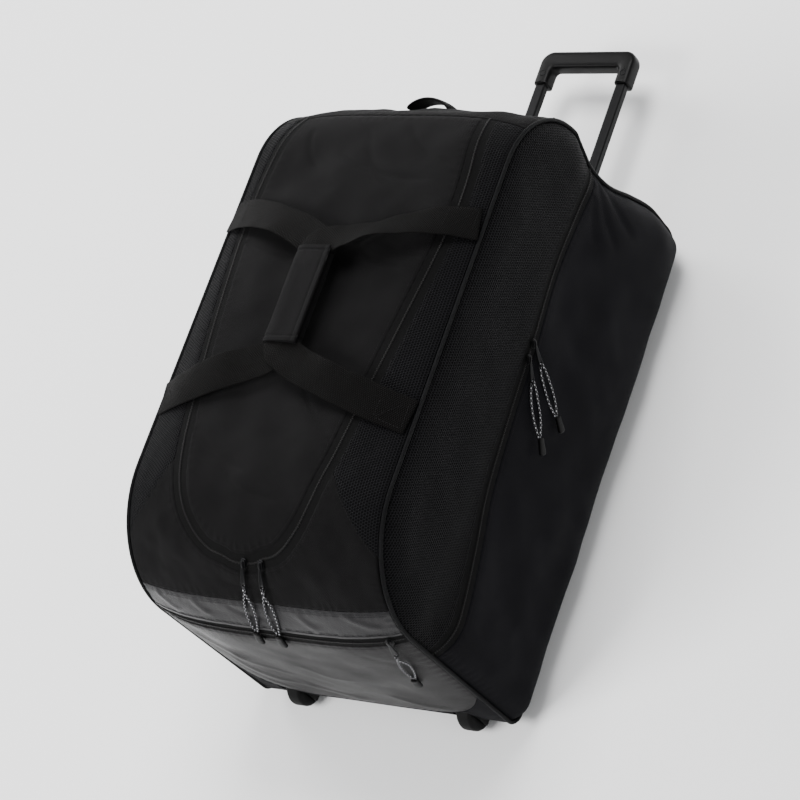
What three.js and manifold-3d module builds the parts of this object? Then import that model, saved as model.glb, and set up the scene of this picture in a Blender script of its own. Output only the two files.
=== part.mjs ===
// A wheeled kit bag, lying on its base with the telescopic handle drawn out.
// +X is the bag's right side, +Y runs from the wheel end to the handle end, +Z is the flap side.
// Lengths are millimetres. The cloth shell is sewn from panels round a real hollow.
import * as THREE from 'three';
import Module from 'manifold-3d';
import { mergeVertices } from 'three/addons/utils/BufferGeometryUtils.js';

const wasm = await Module();
wasm.setup();

// Driving sizes of the cloth shell
const bagLength = 760;
const bagWidth = 427;
const bagHeight = 440;
const cloth = 2;
const clearance = 0.3;
const pipingRadius = 3;
const wheelTopRadius = 150;
const handleTopRadius = 123;
const wheelBaseRadius = 22;
const handleBaseRadius = 35;
const endFlare = 15;
const endPinch = 20;
const topCrown = 34;
const sideBulge = 34;
const sideBulgeReach = 60;

// Driving sizes of the openings, bands and seams
const topSeamInset = 60;
const topSeamPlace = bagLength - topSeamInset;
const flapWidth = 344;
const flapEnd = 48;
const flapTapeOutside = 13;
const flapTapeInside = 9;
const meshEndInner = wheelTopRadius;
const meshEndOuter = 62;
const meshEndInnerHalf = 135;
const stripTop = bagHeight * 0.8;
const stripBottom = bagHeight * 0.7;
const endZipWidth = 17;
const backZipHeight = bagHeight - 100;
const backZipWidth = 17;
const trayTurnUp = 45;
const trayCornerRise = 62;
const trayHandleTurnUp = 30;
const sideZipHeight = bagHeight * 0.623;
const sideZipBand = 22;

// Driving sizes of the wheels, housings and feet
const wheelRadius = 30;
const wheelWidth = 24;
const wheelTread = 297;
const axleInset = 12;
const axleRadius = 4;
const standHeight = 14;
const housingWall = 3;
const wheelSideRoom = 2;
const wheelTopRoom = 3;
const footLength = 34;
const footWidth = 64;
const footInset = 60;
const footPlace = bagLength - footInset;
const footTaper = 6;

// Driving sizes of the telescopic handle
const tubeSpread = 144;
const tubeHeight = 60;
const tubeWidth = 17;
const tubeDepth = 13;
const tubeWall = 1.2;
const sleeveWall = 1.5;
const slideRoom = 0.5;
const sleeveLength = 300;
const tubeInside = 75;
const throatWidth = 190;
const throatHeight = 36;
const throatDepth = 30;
const throatProud = 12;
const gripReach = 1005;
const gripWidth = 168;
const gripHeight = 59;
const gripBar = 30;
const gripArm = 24;
const gripDepth = 26;
const gripWallOverTube = 4;
const gripCorner = 20;
const gripRounding = 5;
const gripSocketDepth = 28;
const gripLipStep = 10;
const screwRadius = 4;
const screwDepth = 2;

// Driving sizes of the webbing
const webbing = 50;
const webbingThickness = 2.5;
const upperStrapPlace = bagLength * 0.7066;
const lowerStrapPlace = bagLength * 0.3237;
const wrapMiddle = bagLength * 0.5132;
const wrapLength = 148;
const wrapWidth = 64;
const wrapHeight = 24;
const wrapWall = 6;
const wrapLift = 9;
const wrapSideRoom = 1;
const wrapBoreCorner = 1.5;
const grabLength = 68;
const grabWidth = 28;
const grabThickness = 5;
const grabMiddle = bagHeight - 76;
const grabRise = 18;

// Driving sizes of the zip pullers
const sliderLength = 14;
const sliderWidth = 10;
const sliderHeight = 5.9;
const sliderSeat = 0.5;
const tabLength = 34;
const tabWidth = 8;
const tabThickness = 1.6;
const tabLift = 3.8;
const eyeRadius = 2.4;
const eyeRim = 1.7;
const rimTurn = 2.4;
const cordSeat = 0.6;
const cordDiameter = 2.8;
const loopLength = 78;
const loopWidth = 17;
const cordEndLength = 24;
const cordEndWidth = 12;
const cordEndHeight = 6;
const cordEndLift = 1;

// Colours of the finishes
const finish = {
  polyester: new THREE.MeshStandardMaterial({ color: 0x1d1d1f, roughness: 0.9 }),
  mesh: new THREE.MeshStandardMaterial({ color: 0x131315, roughness: 0.95 }),
  smooth: new THREE.MeshStandardMaterial({ color: 0x16161a, roughness: 0.8 }),
  grey: new THREE.MeshStandardMaterial({ color: 0x6b6a6d, roughness: 0.6 }),
  reflective: new THREE.MeshStandardMaterial({ color: 0x85848a, roughness: 0.5 }),
  zip: new THREE.MeshStandardMaterial({ color: 0x18181a, roughness: 0.7 }),
  piping: new THREE.MeshStandardMaterial({ color: 0x101012, roughness: 0.7 }),
  webbing: new THREE.MeshStandardMaterial({ color: 0x191715, roughness: 0.85 }),
  plastic: new THREE.MeshStandardMaterial({ color: 0x1c1b1d, roughness: 0.45 }),
  tube: new THREE.MeshStandardMaterial({ color: 0x222223, roughness: 0.35, metalness: 0.6 }),
  rubber: new THREE.MeshStandardMaterial({ color: 0x121213, roughness: 0.6 }),
  metal: new THREE.MeshStandardMaterial({ color: 0x2a2a2c, roughness: 0.35, metalness: 0.8 }),
  cord: new THREE.MeshStandardMaterial({ color: 0x2b2b2e, roughness: 0.8 }),
};

const bag = new THREE.Group();

function addPiece(name, geometry, material) {
  const mesh = new THREE.Mesh(geometry, material);
  mesh.name = name;
  bag.add(mesh);
  return mesh;
}

// Smooth value between the rows of a table, by the named columns
function fromTable(rows, at, column, place) {
  if (place <= rows[0][at]) return rows[0][column];
  const last = rows.length - 1;
  if (place >= rows[last][at]) return rows[last][column];
  const next = rows.findIndex((row) => row[at] > place);
  const [a, b] = [rows[next - 1], rows[next]];
  const before = rows[Math.max(next - 2, 0)];
  const after = rows[Math.min(next + 1, last)];
  const span = b[at] - a[at];
  const share = (place - a[at]) / span;
  const slopeA = next - 2 < 0 ? 0 : ((b[column] - before[column]) / (b[at] - before[at])) * span;
  const slopeB = next + 1 > last ? 0 : ((after[column] - a[column]) / (after[at] - a[at])) * span;
  const cubed = share ** 3;
  const squared = share ** 2;
  return (2 * cubed - 3 * squared + 1) * a[column] + (cubed - 2 * squared + share) * slopeA
    + (3 * squared - 2 * cubed) * b[column] + (cubed - squared) * slopeB;
}

// Solids: a closed mesh is turned the right way out, and cut or joined as a solid
function closedGeometry(points, triangles) {
  let volume = 0;
  const cross = new THREE.Vector3();
  for (const [a, b, c] of triangles) {
    volume += points[a].dot(cross.crossVectors(points[b], points[c]));
  }
  const facing = volume < 0 ? triangles.map(([a, b, c]) => [a, c, b]) : triangles;
  const geometry = new THREE.BufferGeometry();
  geometry.setAttribute('position', new THREE.Float32BufferAttribute(points.flatMap((p) => [p.x, p.y, p.z]), 3));
  geometry.setIndex(facing.flat());
  return geometry;
}

function toSolid(geometry) {
  const bare = geometry.clone();
  bare.deleteAttribute('normal');
  bare.deleteAttribute('uv');
  const merged = mergeVertices(bare, 1e-4);
  return new wasm.Manifold(new wasm.Mesh({
    numProp: 3,
    vertProperties: new Float32Array(merged.attributes.position.array),
    triVerts: new Uint32Array(merged.index.array),
  }));
}

function toGeometry(solid) {
  const mesh = solid.getMesh();
  const geometry = new THREE.BufferGeometry();
  geometry.setAttribute('position', new THREE.Float32BufferAttribute(mesh.vertProperties, 3));
  geometry.setIndex([...mesh.triVerts]);
  return geometry;
}

function block(low, high) {
  const geometry = new THREE.BoxGeometry(high.x - low.x, high.y - low.y, high.z - low.z);
  geometry.translate((low.x + high.x) / 2, (low.y + high.y) / 2, (low.z + high.z) / 2);
  return geometry;
}

// The cut piece is the largest body that is left
function cut(geometry, ...tools) {
  const rest = tools.reduce((solid, tool) => solid.subtract(toSolid(tool)), toSolid(geometry));
  return toGeometry(rest.decompose().reduce((a, b) => (a.volume() > b.volume() ? a : b)));
}

// The bag's outline seen from the side: y along the bag, z up from the base panel.
// The handle end flares at the foot and is drawn in where the side zips end.
const handleEndRows = [
  { up: 0.10, flare: 1.0, pinch: 0 },
  { up: 0.21, flare: 1.0, pinch: 0 },
  { up: 0.33, flare: 0.5, pinch: 0.3 },
  { up: 0.46, flare: 0, pinch: 0.85 },
  { up: 0.58, flare: 0, pinch: 1.0 },
  { up: 0.66, flare: 0, pinch: 0.5 },
];
const outline = new THREE.Path();
const footCorner = bagLength + endFlare - handleBaseRadius;
outline.moveTo(wheelBaseRadius, 0);
outline.lineTo(footCorner, 0);
outline.absarc(footCorner, handleBaseRadius, handleBaseRadius, -Math.PI / 2, 0);
outline.splineThru([
  ...handleEndRows.map(({ up, flare, pinch }) => new THREE.Vector2(
    bagLength + flare * endFlare - pinch * endPinch, up * bagHeight)),
  new THREE.Vector2(bagLength, bagHeight - handleTopRadius),
]);
outline.absarc(bagLength - handleTopRadius, bagHeight - handleTopRadius, handleTopRadius, 0, Math.PI / 2);
outline.lineTo(wheelTopRadius, bagHeight);
outline.absarc(wheelTopRadius, bagHeight - wheelTopRadius, wheelTopRadius, Math.PI / 2, Math.PI);
outline.lineTo(0, wheelBaseRadius);
outline.absarc(wheelBaseRadius, wheelBaseRadius, wheelBaseRadius, Math.PI, 1.5 * Math.PI);

// The outline by its running length, from the wheel end of the base round over the handle end
const outlineSteps = 900;
const outlinePoints = outline.getSpacedPoints(outlineSteps);
const outlineLengths = [0];
for (let i = 1; i < outlinePoints.length; i += 1) {
  outlineLengths.push(outlineLengths[i - 1] + outlinePoints[i].distanceTo(outlinePoints[i - 1]));
}
const outlineLength = outlineLengths[outlineSteps];
const normalReach = 5;

function onOutline(station) {
  const wrapped = ((station % outlineLength) + outlineLength) % outlineLength;
  let low = 0;
  let high = outlineSteps;
  while (high - low > 1) {
    const middle = (low + high) >> 1;
    if (outlineLengths[middle] <= wrapped) low = middle;
    else high = middle;
  }
  const share = (wrapped - outlineLengths[low]) / (outlineLengths[high] - outlineLengths[low]);
  return outlinePoints[low].clone().lerp(outlinePoints[high], share);
}

function outlineNormal(station) {
  const along = onOutline(station + normalReach).sub(onOutline(station - normalReach)).normalize();
  return new THREE.Vector2(along.y, -along.x);
}

// The station where the outline reaches a height on an end, or a place along the top
function stationWhere(inRange, value, wanted) {
  for (let i = 1; i <= outlineSteps; i += 1) {
    const [a, b] = [outlinePoints[i - 1], outlinePoints[i]];
    const [valueA, valueB] = [value(a) - wanted, value(b) - wanted];
    if (inRange(a) && valueA * valueB <= 0 && valueA !== valueB) {
      return outlineLengths[i - 1] + (valueA / (valueA - valueB)) * (outlineLengths[i] - outlineLengths[i - 1]);
    }
  }
  throw new Error(`the outline has no such place: ${wanted}`);
}
const upperHalf = (p) => p.y > bagHeight / 2;
const wheelHalf = (p) => p.x < bagLength / 2;
const onTop = (y) => stationWhere(upperHalf, (p) => p.x, y);
const onWheelEnd = (z) => stationWhere(wheelHalf, (p) => p.y, z);
const onHandleEnd = (z) => stationWhere((p) => !wheelHalf(p), (p) => p.y, z);

// How far the cloth stands out from the straight outline, in shares of the crown of the top
const crownRows = [
  { place: onHandleEnd(handleBaseRadius / 2), rise: 0 },
  { place: onHandleEnd(bagHeight * 0.2), rise: 0.3 },
  { place: onHandleEnd(bagHeight * 0.55), rise: 0.3 },
  { place: onHandleEnd(bagHeight * 0.8), rise: 0.32 },
  { place: onTop(bagLength * 0.92), rise: 0.62 },
  { place: onTop(bagLength * 0.8), rise: 0.85 },
  { place: onTop(bagLength * 0.5), rise: 1 },
  { place: onTop(bagLength * 0.25), rise: 0.88 },
  { place: onWheelEnd(bagHeight * 0.95), rise: 0.62 },
  { place: onWheelEnd(bagHeight * 0.8), rise: 0.45 },
  { place: onWheelEnd(bagHeight * 0.6), rise: 0.72 },
  { place: onWheelEnd(bagHeight * 0.35), rise: 0.62 },
  { place: onWheelEnd(bagHeight * 0.12), rise: 0.3 },
  { place: onWheelEnd(wheelBaseRadius / 2), rise: 0 },
];
const crownFullness = 4;

function crown(station, x) {
  const across = 1 - Math.abs(x / (bagWidth / 2)) ** crownFullness;
  const wrapped = ((station % outlineLength) + outlineLength) % outlineLength;
  return topCrown * fromTable(crownRows, 'place', 'rise', wrapped) * across;
}

// A point of the band that runs round the bag: by its station, its x and how far it is sunk
function bandPoint(station, x, sunk) {
  const middle = onOutline(station);
  const normal = outlineNormal(station);
  const out = crown(station, x) - sunk;
  return new THREE.Vector3(x, middle.x + normal.x * out, middle.y + normal.y * out + standHeight);
}

// A point of a side: by its y and z in the outline, and how far it is sunk
const coarseOutline = outline.getSpacedPoints(180);
function insideOutline(y, z) {
  let nearest = Infinity;
  for (let i = 1; i < coarseOutline.length; i += 1) {
    const [a, b] = [coarseOutline[i - 1], coarseOutline[i]];
    const [dy, dz] = [b.x - a.x, b.y - a.y];
    const share = THREE.MathUtils.clamp(((y - a.x) * dy + (z - a.y) * dz) / (dy * dy + dz * dz), 0, 1);
    nearest = Math.min(nearest, Math.hypot(y - a.x - share * dy, z - a.y - share * dz));
  }
  return nearest;
}
const sideBulgeRows = [
  { up: 0, out: 1 },
  { up: 0.3, out: 1 },
  { up: 0.5, out: 0.72 },
  { up: 0.61, out: 0.45 },
  { up: 0.72, out: 0.56 },
  { up: 0.86, out: 0.5 },
  { up: 1, out: 0.4 },
];
const seamInset = pipingRadius + clearance;
function sidePoint(side, y, z, sunk) {
  const reach = THREE.MathUtils.clamp((insideOutline(y, z) - seamInset) / sideBulgeReach, 0, 1);
  const out = sideBulge * fromTable(sideBulgeRows, 'up', 'out', z / bagHeight) * (1 - (1 - reach) ** 3);
  return new THREE.Vector3(side * (bagWidth / 2 + out - sunk), y, z + standHeight);
}

// Flat patterns of cloth panels: points of two numbers, triangles, and the rim in order
function gridPattern(rows, columns, at) {
  const points = [];
  const triangles = [];
  const width = columns + 1;
  for (let i = 0; i <= rows; i += 1) {
    for (let j = 0; j <= columns; j += 1) points.push(at(i / rows, j / columns));
  }
  for (let i = 0; i < rows; i += 1) {
    for (let j = 0; j < columns; j += 1) {
      const a = i * width + j;
      triangles.push([a, a + 1, a + width + 1], [a, a + width + 1, a + width]);
    }
  }
  const rim = [];
  for (let j = 0; j < columns; j += 1) rim.push(j);
  for (let i = 0; i < rows; i += 1) rim.push(i * width + columns);
  for (let j = columns; j > 0; j -= 1) rim.push(rows * width + j);
  for (let i = rows; i > 0; i -= 1) rim.push(i * width);
  return { points, triangles, rim };
}

// Rings that shrink from an edge towards a spine, with the innermost ring filled in
function ringPattern(edge, [spineA, spineB], rings) {
  const [da, db] = [spineB[0] - spineA[0], spineB[1] - spineA[1]];
  const anchors = edge.map(([a, b]) => {
    const share = ((a - spineA[0]) * da + (b - spineA[1]) * db) / (da * da + db * db);
    const held = THREE.MathUtils.clamp(share, 0, 1);
    return [spineA[0] + da * held, spineA[1] + db * held];
  });
  const count = edge.length;
  const points = rings.flatMap((share) => edge.map(([a, b], i) => (
    [anchors[i][0] + (a - anchors[i][0]) * share, anchors[i][1] + (b - anchors[i][1]) * share])));
  const inmost = points.slice(0, count).map(([a, b]) => new THREE.Vector2(a, b));
  const turned = THREE.ShapeUtils.area(inmost) < 0;
  const triangles = THREE.ShapeUtils.triangulateShape(inmost, []).map(([a, b, c]) => (turned ? [a, c, b] : [a, b, c]));
  for (let ring = 1; ring < rings.length; ring += 1) {
    for (let i = 0; i < count; i += 1) {
      const next = (i + 1) % count;
      const [inner, outer] = [(ring - 1) * count, ring * count];
      triangles.push([inner + i, outer + i, outer + next], [inner + i, outer + next, inner + next]);
    }
  }
  const rim = edge.map((_, i) => (rings.length - 1) * count + i);
  return { points, triangles, rim };
}

// A pattern given its thickness: the map places a point of the pattern at a depth
function sewn(pattern, map, outside = -cloth / 2, inside = cloth / 2) {
  const count = pattern.points.length;
  const points = [
    ...pattern.points.map(([a, b]) => map(a, b, outside)),
    ...pattern.points.map(([a, b]) => map(a, b, inside)),
  ];
  const triangles = pattern.triangles.map((t) => [...t]);
  for (const [a, b, c] of pattern.triangles) triangles.push([a + count, c + count, b + count]);
  pattern.rim.forEach((a, i) => {
    const b = pattern.rim[(i + 1) % pattern.rim.length];
    triangles.push([a, b + count, b], [a, a + count, b + count]);
  });
  return closedGeometry(points, triangles);
}

// Shares along a stretch of the outline, closer together where it turns
const stepLength = 110;
const chordDepth = 1.2;
function sharesBetween(from, to) {
  const fine = 240;
  const measure = [0];
  for (let i = 1; i <= fine; i += 1) {
    const [a, b] = [from + ((to - from) * (i - 1)) / fine, from + ((to - from) * i) / fine];
    const turn = Math.abs(outlineNormal(a).cross(outlineNormal(b)));
    const span = Math.abs(b - a);
    measure.push(measure[i - 1] + span / stepLength + Math.sqrt((turn * span) / (8 * chordDepth)));
  }
  const steps = Math.max(1, Math.ceil(measure[fine]));
  const shares = [];
  for (let k = 0; k <= steps; k += 1) {
    const wanted = (measure[fine] * k) / steps;
    const i = Math.max(1, measure.findIndex((m) => m >= wanted - 1e-9));
    shares.push((i - 1 + (wanted - measure[i - 1]) / (measure[i] - measure[i - 1])) / fine);
  }
  return shares;
}

const bandHalf = bagWidth / 2 - seamInset;
const acrossColumns = 8;
const acrossX = (share) => bandHalf * Math.sin((share - 0.5) * Math.PI * 0.86) / Math.sin(0.43 * Math.PI);

// A panel of the band, from one station to another, right across the bag
function bandPanel(fromStation, toStation) {
  const shares = sharesBetween(fromStation(0), toStation(0));
  const rows = shares.length - 1;
  return sewn(gridPattern(rows, acrossColumns, (i, j) => {
    const x = acrossX(j);
    const share = shares[Math.round(i * rows)];
    return [fromStation(x) + (toStation(x) - fromStation(x)) * share, x];
  }), bandPoint);
}

// The zip's path round the flap, in stations and x: its half width along the flap
const flapRows = [
  { along: 0, half: 0.9 },
  { along: 0.05, half: 0.94 },
  { along: 0.13, half: 0.985 },
  { along: 0.22, half: 1.0 },
  { along: 0.33, half: 0.97 },
  { along: 0.53, half: 0.88 },
  { along: 0.69, half: 0.79 },
  { along: 0.79, half: 0.73 },
  { along: 0.86, half: 0.66 },
  { along: 0.915, half: 0.57 },
  { along: 0.955, half: 0.45 },
  { along: 0.982, half: 0.31 },
  { along: 1, half: 0.1 },
];
const topSeam = onTop(topSeamPlace);
const flapTip = onTop(flapEnd);
const halfGap = clearance / 2;
const flapSide = [];
for (let i = 0; i < flapRows.length; i += 1) {
  const { along, half } = flapRows[i];
  flapSide.push([topSeam + halfGap + (flapTip - topSeam - halfGap) * along, (half * flapWidth) / 2]);
  const next = flapRows[i + 1];
  if (next && (next.along - along > 0.12 || along > 0.75)) {
    const middle = (along + next.along) / 2;
    flapSide.push([topSeam + halfGap + (flapTip - topSeam - halfGap) * middle,
      (fromTable(flapRows, 'along', 'half', middle) * flapWidth) / 2]);
  }
}
const flapPath = [...flapSide, ...[...flapSide].reverse().map(([s, x]) => [s, -x])];

// The same path moved outwards, or inwards where the distance is negative
function flapPathOffset(distance) {
  return flapPath.map(([s, x], i) => {
    const before = flapPath[Math.max(i - 1, 0)];
    const after = flapPath[Math.min(i + 1, flapPath.length - 1)];
    const [ds, dx] = [after[0] - before[0], after[1] - before[1]];
    const length = Math.hypot(ds, dx);
    const atSeam = i === 0 || i === flapPath.length - 1;
    return [atSeam ? s : s - (dx / length) * distance, x + (ds / length) * distance];
  });
}
const flapSpine = [[topSeam + (flapTip - topSeam) * 0.3, 0], [topSeam + (flapTip - topSeam) * 0.72, 0]];
const flapRings = [0.4, 0.8, 1];
const zipOuter = flapPathOffset(flapTapeOutside);
const zipInner = flapPathOffset(-flapTapeInside);
addPiece('top_flap', sewn(
  ringPattern(flapPathOffset(-flapTapeInside - clearance), flapSpine, flapRings), bandPoint), finish.polyester);
addPiece('flap_zip', sewn(
  gridPattern(flapPath.length - 1, 2, (i, j) => {
    const k = Math.round(i * (flapPath.length - 1));
    return [zipInner[k][0] + (zipOuter[k][0] - zipInner[k][0]) * j,
      zipInner[k][1] + (zipOuter[k][1] - zipInner[k][1]) * j];
  }), bandPoint), finish.zip);

// The border where the mesh strips end runs down the wheel end towards the piping
const borderSlope = (onTop(meshEndOuter) - onTop(meshEndInner)) / (bandHalf - meshEndInnerHalf);
const meshBorder = (x) => onTop(meshEndInner) + (Math.abs(x) - meshEndInnerHalf) * borderSlope;
function zipHalfAt(station) {
  const along = (station - topSeam) / (flapTip - topSeam);
  return (fromTable(flapRows, 'along', 'half', along) * flapWidth) / 2 + flapTapeOutside;
}

// The room that the flap and its zip take in the panels round them
const cutReach = 5;
const endReach = 20;
const notchEdge = flapPathOffset(flapTapeOutside + 2 * clearance);
const [notchStart] = notchEdge;
const notchPath = [
  [notchStart[0] - endReach, notchStart[1]], ...notchEdge, [notchStart[0] - endReach, -notchStart[1]]];
const notch = sewn(ringPattern(notchPath, flapSpine, flapRings), bandPoint, -cutReach, cutReach);
function meshStrip(side, grow, reach) {
  const start = topSeam + halfGap - grow;
  const shares = sharesBetween(start, meshBorder(bandHalf));
  const rows = shares.length - 1;
  return sewn(gridPattern(rows, 3, (i, j) => {
    const share = shares[Math.round(i * rows)];
    const innerHalf = zipHalfAt(meshBorder(meshEndInnerHalf)) - pipingRadius;
    const end = meshBorder(innerHalf + (bandHalf - innerHalf) * j) - halfGap + grow;
    const station = start + (end - start) * share;
    const inner = zipHalfAt(station) - pipingRadius;
    return [station, side * (inner + (bandHalf + grow - inner) * j)];
  }), bandPoint, -reach, reach);
}

// The plain panel round the closed end of the zip takes what the mesh strips and the zip leave
const stripUpper = onWheelEnd(stripTop);
const strips = { left: -1, right: 1 };
for (const [name, side] of Object.entries(strips)) {
  addPiece(`mesh_strip_${name}`, cut(meshStrip(side, 0, cloth / 2), notch), finish.mesh);
}
const frontPlate = bandPanel(
  (x) => Math.max(meshBorder(x), meshBorder(meshEndInnerHalf)) - endReach, () => stripUpper - halfGap);
addPiece('front_panel', cut(frontPlate, notch,
  meshStrip(-1, clearance, cutReach), meshStrip(1, clearance, cutReach)), finish.polyester);

// The wheel end: light strip, zip, grey pocket
const stripLower = onWheelEnd(stripBottom);
const endZipLower = onWheelEnd(stripBottom - endZipWidth);
const flat = (station) => () => station;
addPiece('reflective_strip',
  bandPanel(flat(stripUpper + halfGap), flat(stripLower - halfGap)), finish.reflective);
addPiece('end_zip', bandPanel(flat(stripLower + halfGap), flat(endZipLower - halfGap)), finish.zip);
function trayEdge(x) {
  const rise = Math.abs(x / bandHalf) ** 6;
  return onWheelEnd(trayTurnUp + trayCornerRise * rise);
}
addPiece('end_pocket',
  bandPanel(flat(endZipLower + halfGap), (x) => trayEdge(x) - halfGap), finish.grey);

// The handle end: panel, zip, and the pocket with the opening for the handle's throat
const backZipUpper = onHandleEnd(backZipHeight + backZipWidth / 2);
const backZipLower = onHandleEnd(backZipHeight - backZipWidth / 2);
const trayHandleEdge = onHandleEnd(trayHandleTurnUp);
addPiece('handle_end_panel',
  bandPanel(flat(backZipUpper + halfGap), flat(topSeam - halfGap)), finish.polyester);
addPiece('back_zip', bandPanel(flat(backZipLower + halfGap), flat(backZipUpper - halfGap)), finish.zip);
const tubeLevel = standHeight + tubeHeight;
const throatFace = bagLength + endFlare + throatProud;
const throatLow = new THREE.Vector3(-throatWidth / 2, throatFace - throatDepth, tubeLevel - throatHeight / 2);
const throatHigh = new THREE.Vector3(throatWidth / 2, throatFace, tubeLevel + throatHeight / 2);
const grown = (low, high, by) => block(low.clone().subScalar(by), high.clone().addScalar(by));
addPiece('back_pocket', cut(
  bandPanel(flat(trayHandleEdge + halfGap), flat(backZipLower - halfGap)),
  grown(throatLow, throatHigh, clearance)), finish.polyester);

// The base tray, with a corner cut out round each wheel housing
const housingHalf = wheelWidth / 2 + wheelSideRoom + housingWall;
const housingBack = axleInset + wheelRadius + wheelTopRoom + housingWall;
const housingTop = wheelRadius * 2 + wheelTopRoom + housingWall;
const farOut = 80;
const trayCuts = [-1, 1].map((side) => block(
  new THREE.Vector3((side * wheelTread) / 2 - housingHalf - clearance, -farOut, -farOut),
  new THREE.Vector3((side * wheelTread) / 2 + housingHalf + clearance, housingBack + clearance, housingTop + clearance)));
addPiece('base_tray', cut(
  bandPanel((x) => trayEdge(x) + halfGap - outlineLength, flat(trayHandleEdge - halfGap)),
  ...trayCuts), finish.smooth);

// The sides: pocket panel below the zip, open mesh above it
const sideZipRows = [
  { along: 0, up: 0.87 },
  { along: 0.08, up: 0.86 },
  { along: 0.2, up: 0.905 },
  { along: 0.31, up: 0.96 },
  { along: 0.47, up: 0.99 },
  { along: 0.59, up: 1.0 },
  { along: 0.74, up: 1.03 },
  { along: 0.88, up: 1.0 },
  { along: 0.94, up: 0.975 },
  { along: 0.98, up: 0.955 },
];
const sideZipAt = (y) => sideZipHeight * fromTable(sideZipRows, 'along', 'up', y / bagLength);
const bandEdge = sideZipBand / 2;
const seamStations = sharesBetween(0, outlineLength).slice(0, -1).map((share) => share * outlineLength);
const apart = 3;
function sideOutlinePart(from, to) {
  const between = [...seamStations.map((s) => s - outlineLength), ...seamStations]
    .filter((station) => station > from + apart && station < to - apart);
  return [from, ...between, to].map((station) => {
    const middle = onOutline(station);
    const normal = outlineNormal(station);
    return [middle.x - normal.x * seamInset, middle.y - normal.y * seamInset];
  });
}
const sideZipShares = [0, 0.025, 0.06, 0.11, 0.2, 0.32, 0.44, 0.56, 0.68, 0.8, 0.89, 0.94, 0.975, 1];
const sideZipLine = (offset, from, to) => sideZipShares.slice(1, -1).map((share) => {
  const y = from + (to - from) * share;
  return [y, sideZipAt(y) + offset];
});
const sideRings = [0.36, 0.76, 1];
const spineAt = (z) => [[bagLength * 0.17, z], [bagLength * 0.85, z]];
for (const [name, side] of [['left', -1], ['right', 1]]) {
  const place = (y, z, sunk) => sidePoint(side, y, z, sunk);
  const wheelZip = sideZipAt(0);
  const handleZip = sideZipAt(bagLength);
  const handleY = onOutline(onHandleEnd(handleZip)).x - seamInset;
  const lower = [
    ...sideOutlinePart(onWheelEnd(wheelZip - bandEdge) - outlineLength, onHandleEnd(handleZip - bandEdge)),
    ...sideZipLine(-bandEdge, handleY, seamInset),
  ];
  addPiece(`side_pocket_${name}`, sewn(
    ringPattern(lower, spineAt(sideZipHeight * 0.48), sideRings), place), finish.smooth);
  const upper = [
    ...sideOutlinePart(onHandleEnd(handleZip + bandEdge), onWheelEnd(wheelZip + bandEdge)),
    ...sideZipLine(bandEdge, seamInset, handleY),
  ];
  addPiece(`side_mesh_${name}`, sewn(
    ringPattern(upper, spineAt(bagHeight * 0.8), sideRings), place), finish.mesh);
  const half = bandEdge - clearance;
  const zipSteps = sideZipShares.length - 1;
  const band = gridPattern(zipSteps, 2, (i, j) => {
    const share = sideZipShares[Math.round(i * zipSteps)];
    const y = seamInset + clearance + (handleY - seamInset - 3 * clearance) * share;
    return [y, sideZipAt(y) + half * (2 * j - 1)];
  });
  addPiece(`side_zip_${name}`, sewn(band, place), finish.zip);

  // The piped seam runs once round the side
  addPiece(`piping_${name}`, pipingRing(side, seamStations), finish.piping);
}

function pipingRing(side, stations) {
  const sides = 6;
  const points = [];
  const triangles = [];
  stations.forEach((station, i) => {
    const middle = onOutline(station);
    const normal = outlineNormal(station);
    for (let k = 0; k < sides; k += 1) {
      const angle = (2 * Math.PI * k) / sides;
      const out = pipingRadius * Math.cos(angle);
      points.push(new THREE.Vector3(
        side * (bagWidth / 2) + pipingRadius * Math.sin(angle),
        middle.x + normal.x * out, middle.y + normal.y * out + standHeight));
      const next = ((i + 1) % stations.length) * sides;
      const [a, b] = [i * sides + k, i * sides + ((k + 1) % sides)];
      const [c, d] = [next + k, next + ((k + 1) % sides)];
      triangles.push([a, b, d], [a, d, c]);
    }
  });
  return closedGeometry(points, triangles);
}

// A wheel with a rounded tread, on the pin of its corner housing
const axleRoom = 0.3;
const treadRound = 4;
const hubRecess = 3;
const hubRadius = 12;
const wheelSegments = 16;
function wheelGeometry() {
  const half = wheelWidth / 2;
  const bore = axleRadius + axleRoom;
  const rows = [
    [bore, -half + hubRecess], [hubRadius, -half + hubRecess], [hubRadius + hubRecess, -half],
    [wheelRadius - treadRound, -half], [wheelRadius, -half + treadRound],
    [wheelRadius, half - treadRound], [wheelRadius - treadRound, half],
    [hubRadius + hubRecess, half], [hubRadius, half - hubRecess], [bore, half - hubRecess],
    [bore, -half + hubRecess],
  ];
  const geometry = new THREE.LatheGeometry(rows.map(([r, along]) => new THREE.Vector2(r, along)), wheelSegments);
  geometry.rotateZ(-Math.PI / 2);
  return geometry;
}

function housingGeometry() {
  const low = new THREE.Vector3(-housingHalf, -housingWall, standHeight - housingWall);
  const high = new THREE.Vector3(housingHalf, housingBack, housingTop);
  const room = block(
    new THREE.Vector3(-housingHalf + housingWall, -farOut, -farOut),
    new THREE.Vector3(housingHalf - housingWall, housingBack - housingWall, housingTop - housingWall));
  const pin = new THREE.CylinderGeometry(axleRadius, axleRadius, 2 * housingHalf - housingWall, 12);
  pin.rotateZ(Math.PI / 2);
  pin.translate(0, axleInset, wheelRadius);
  const shell = toSolid(block(low, high)).subtract(toSolid(room));
  return toGeometry(shell.add(toSolid(pin)));
}

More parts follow.
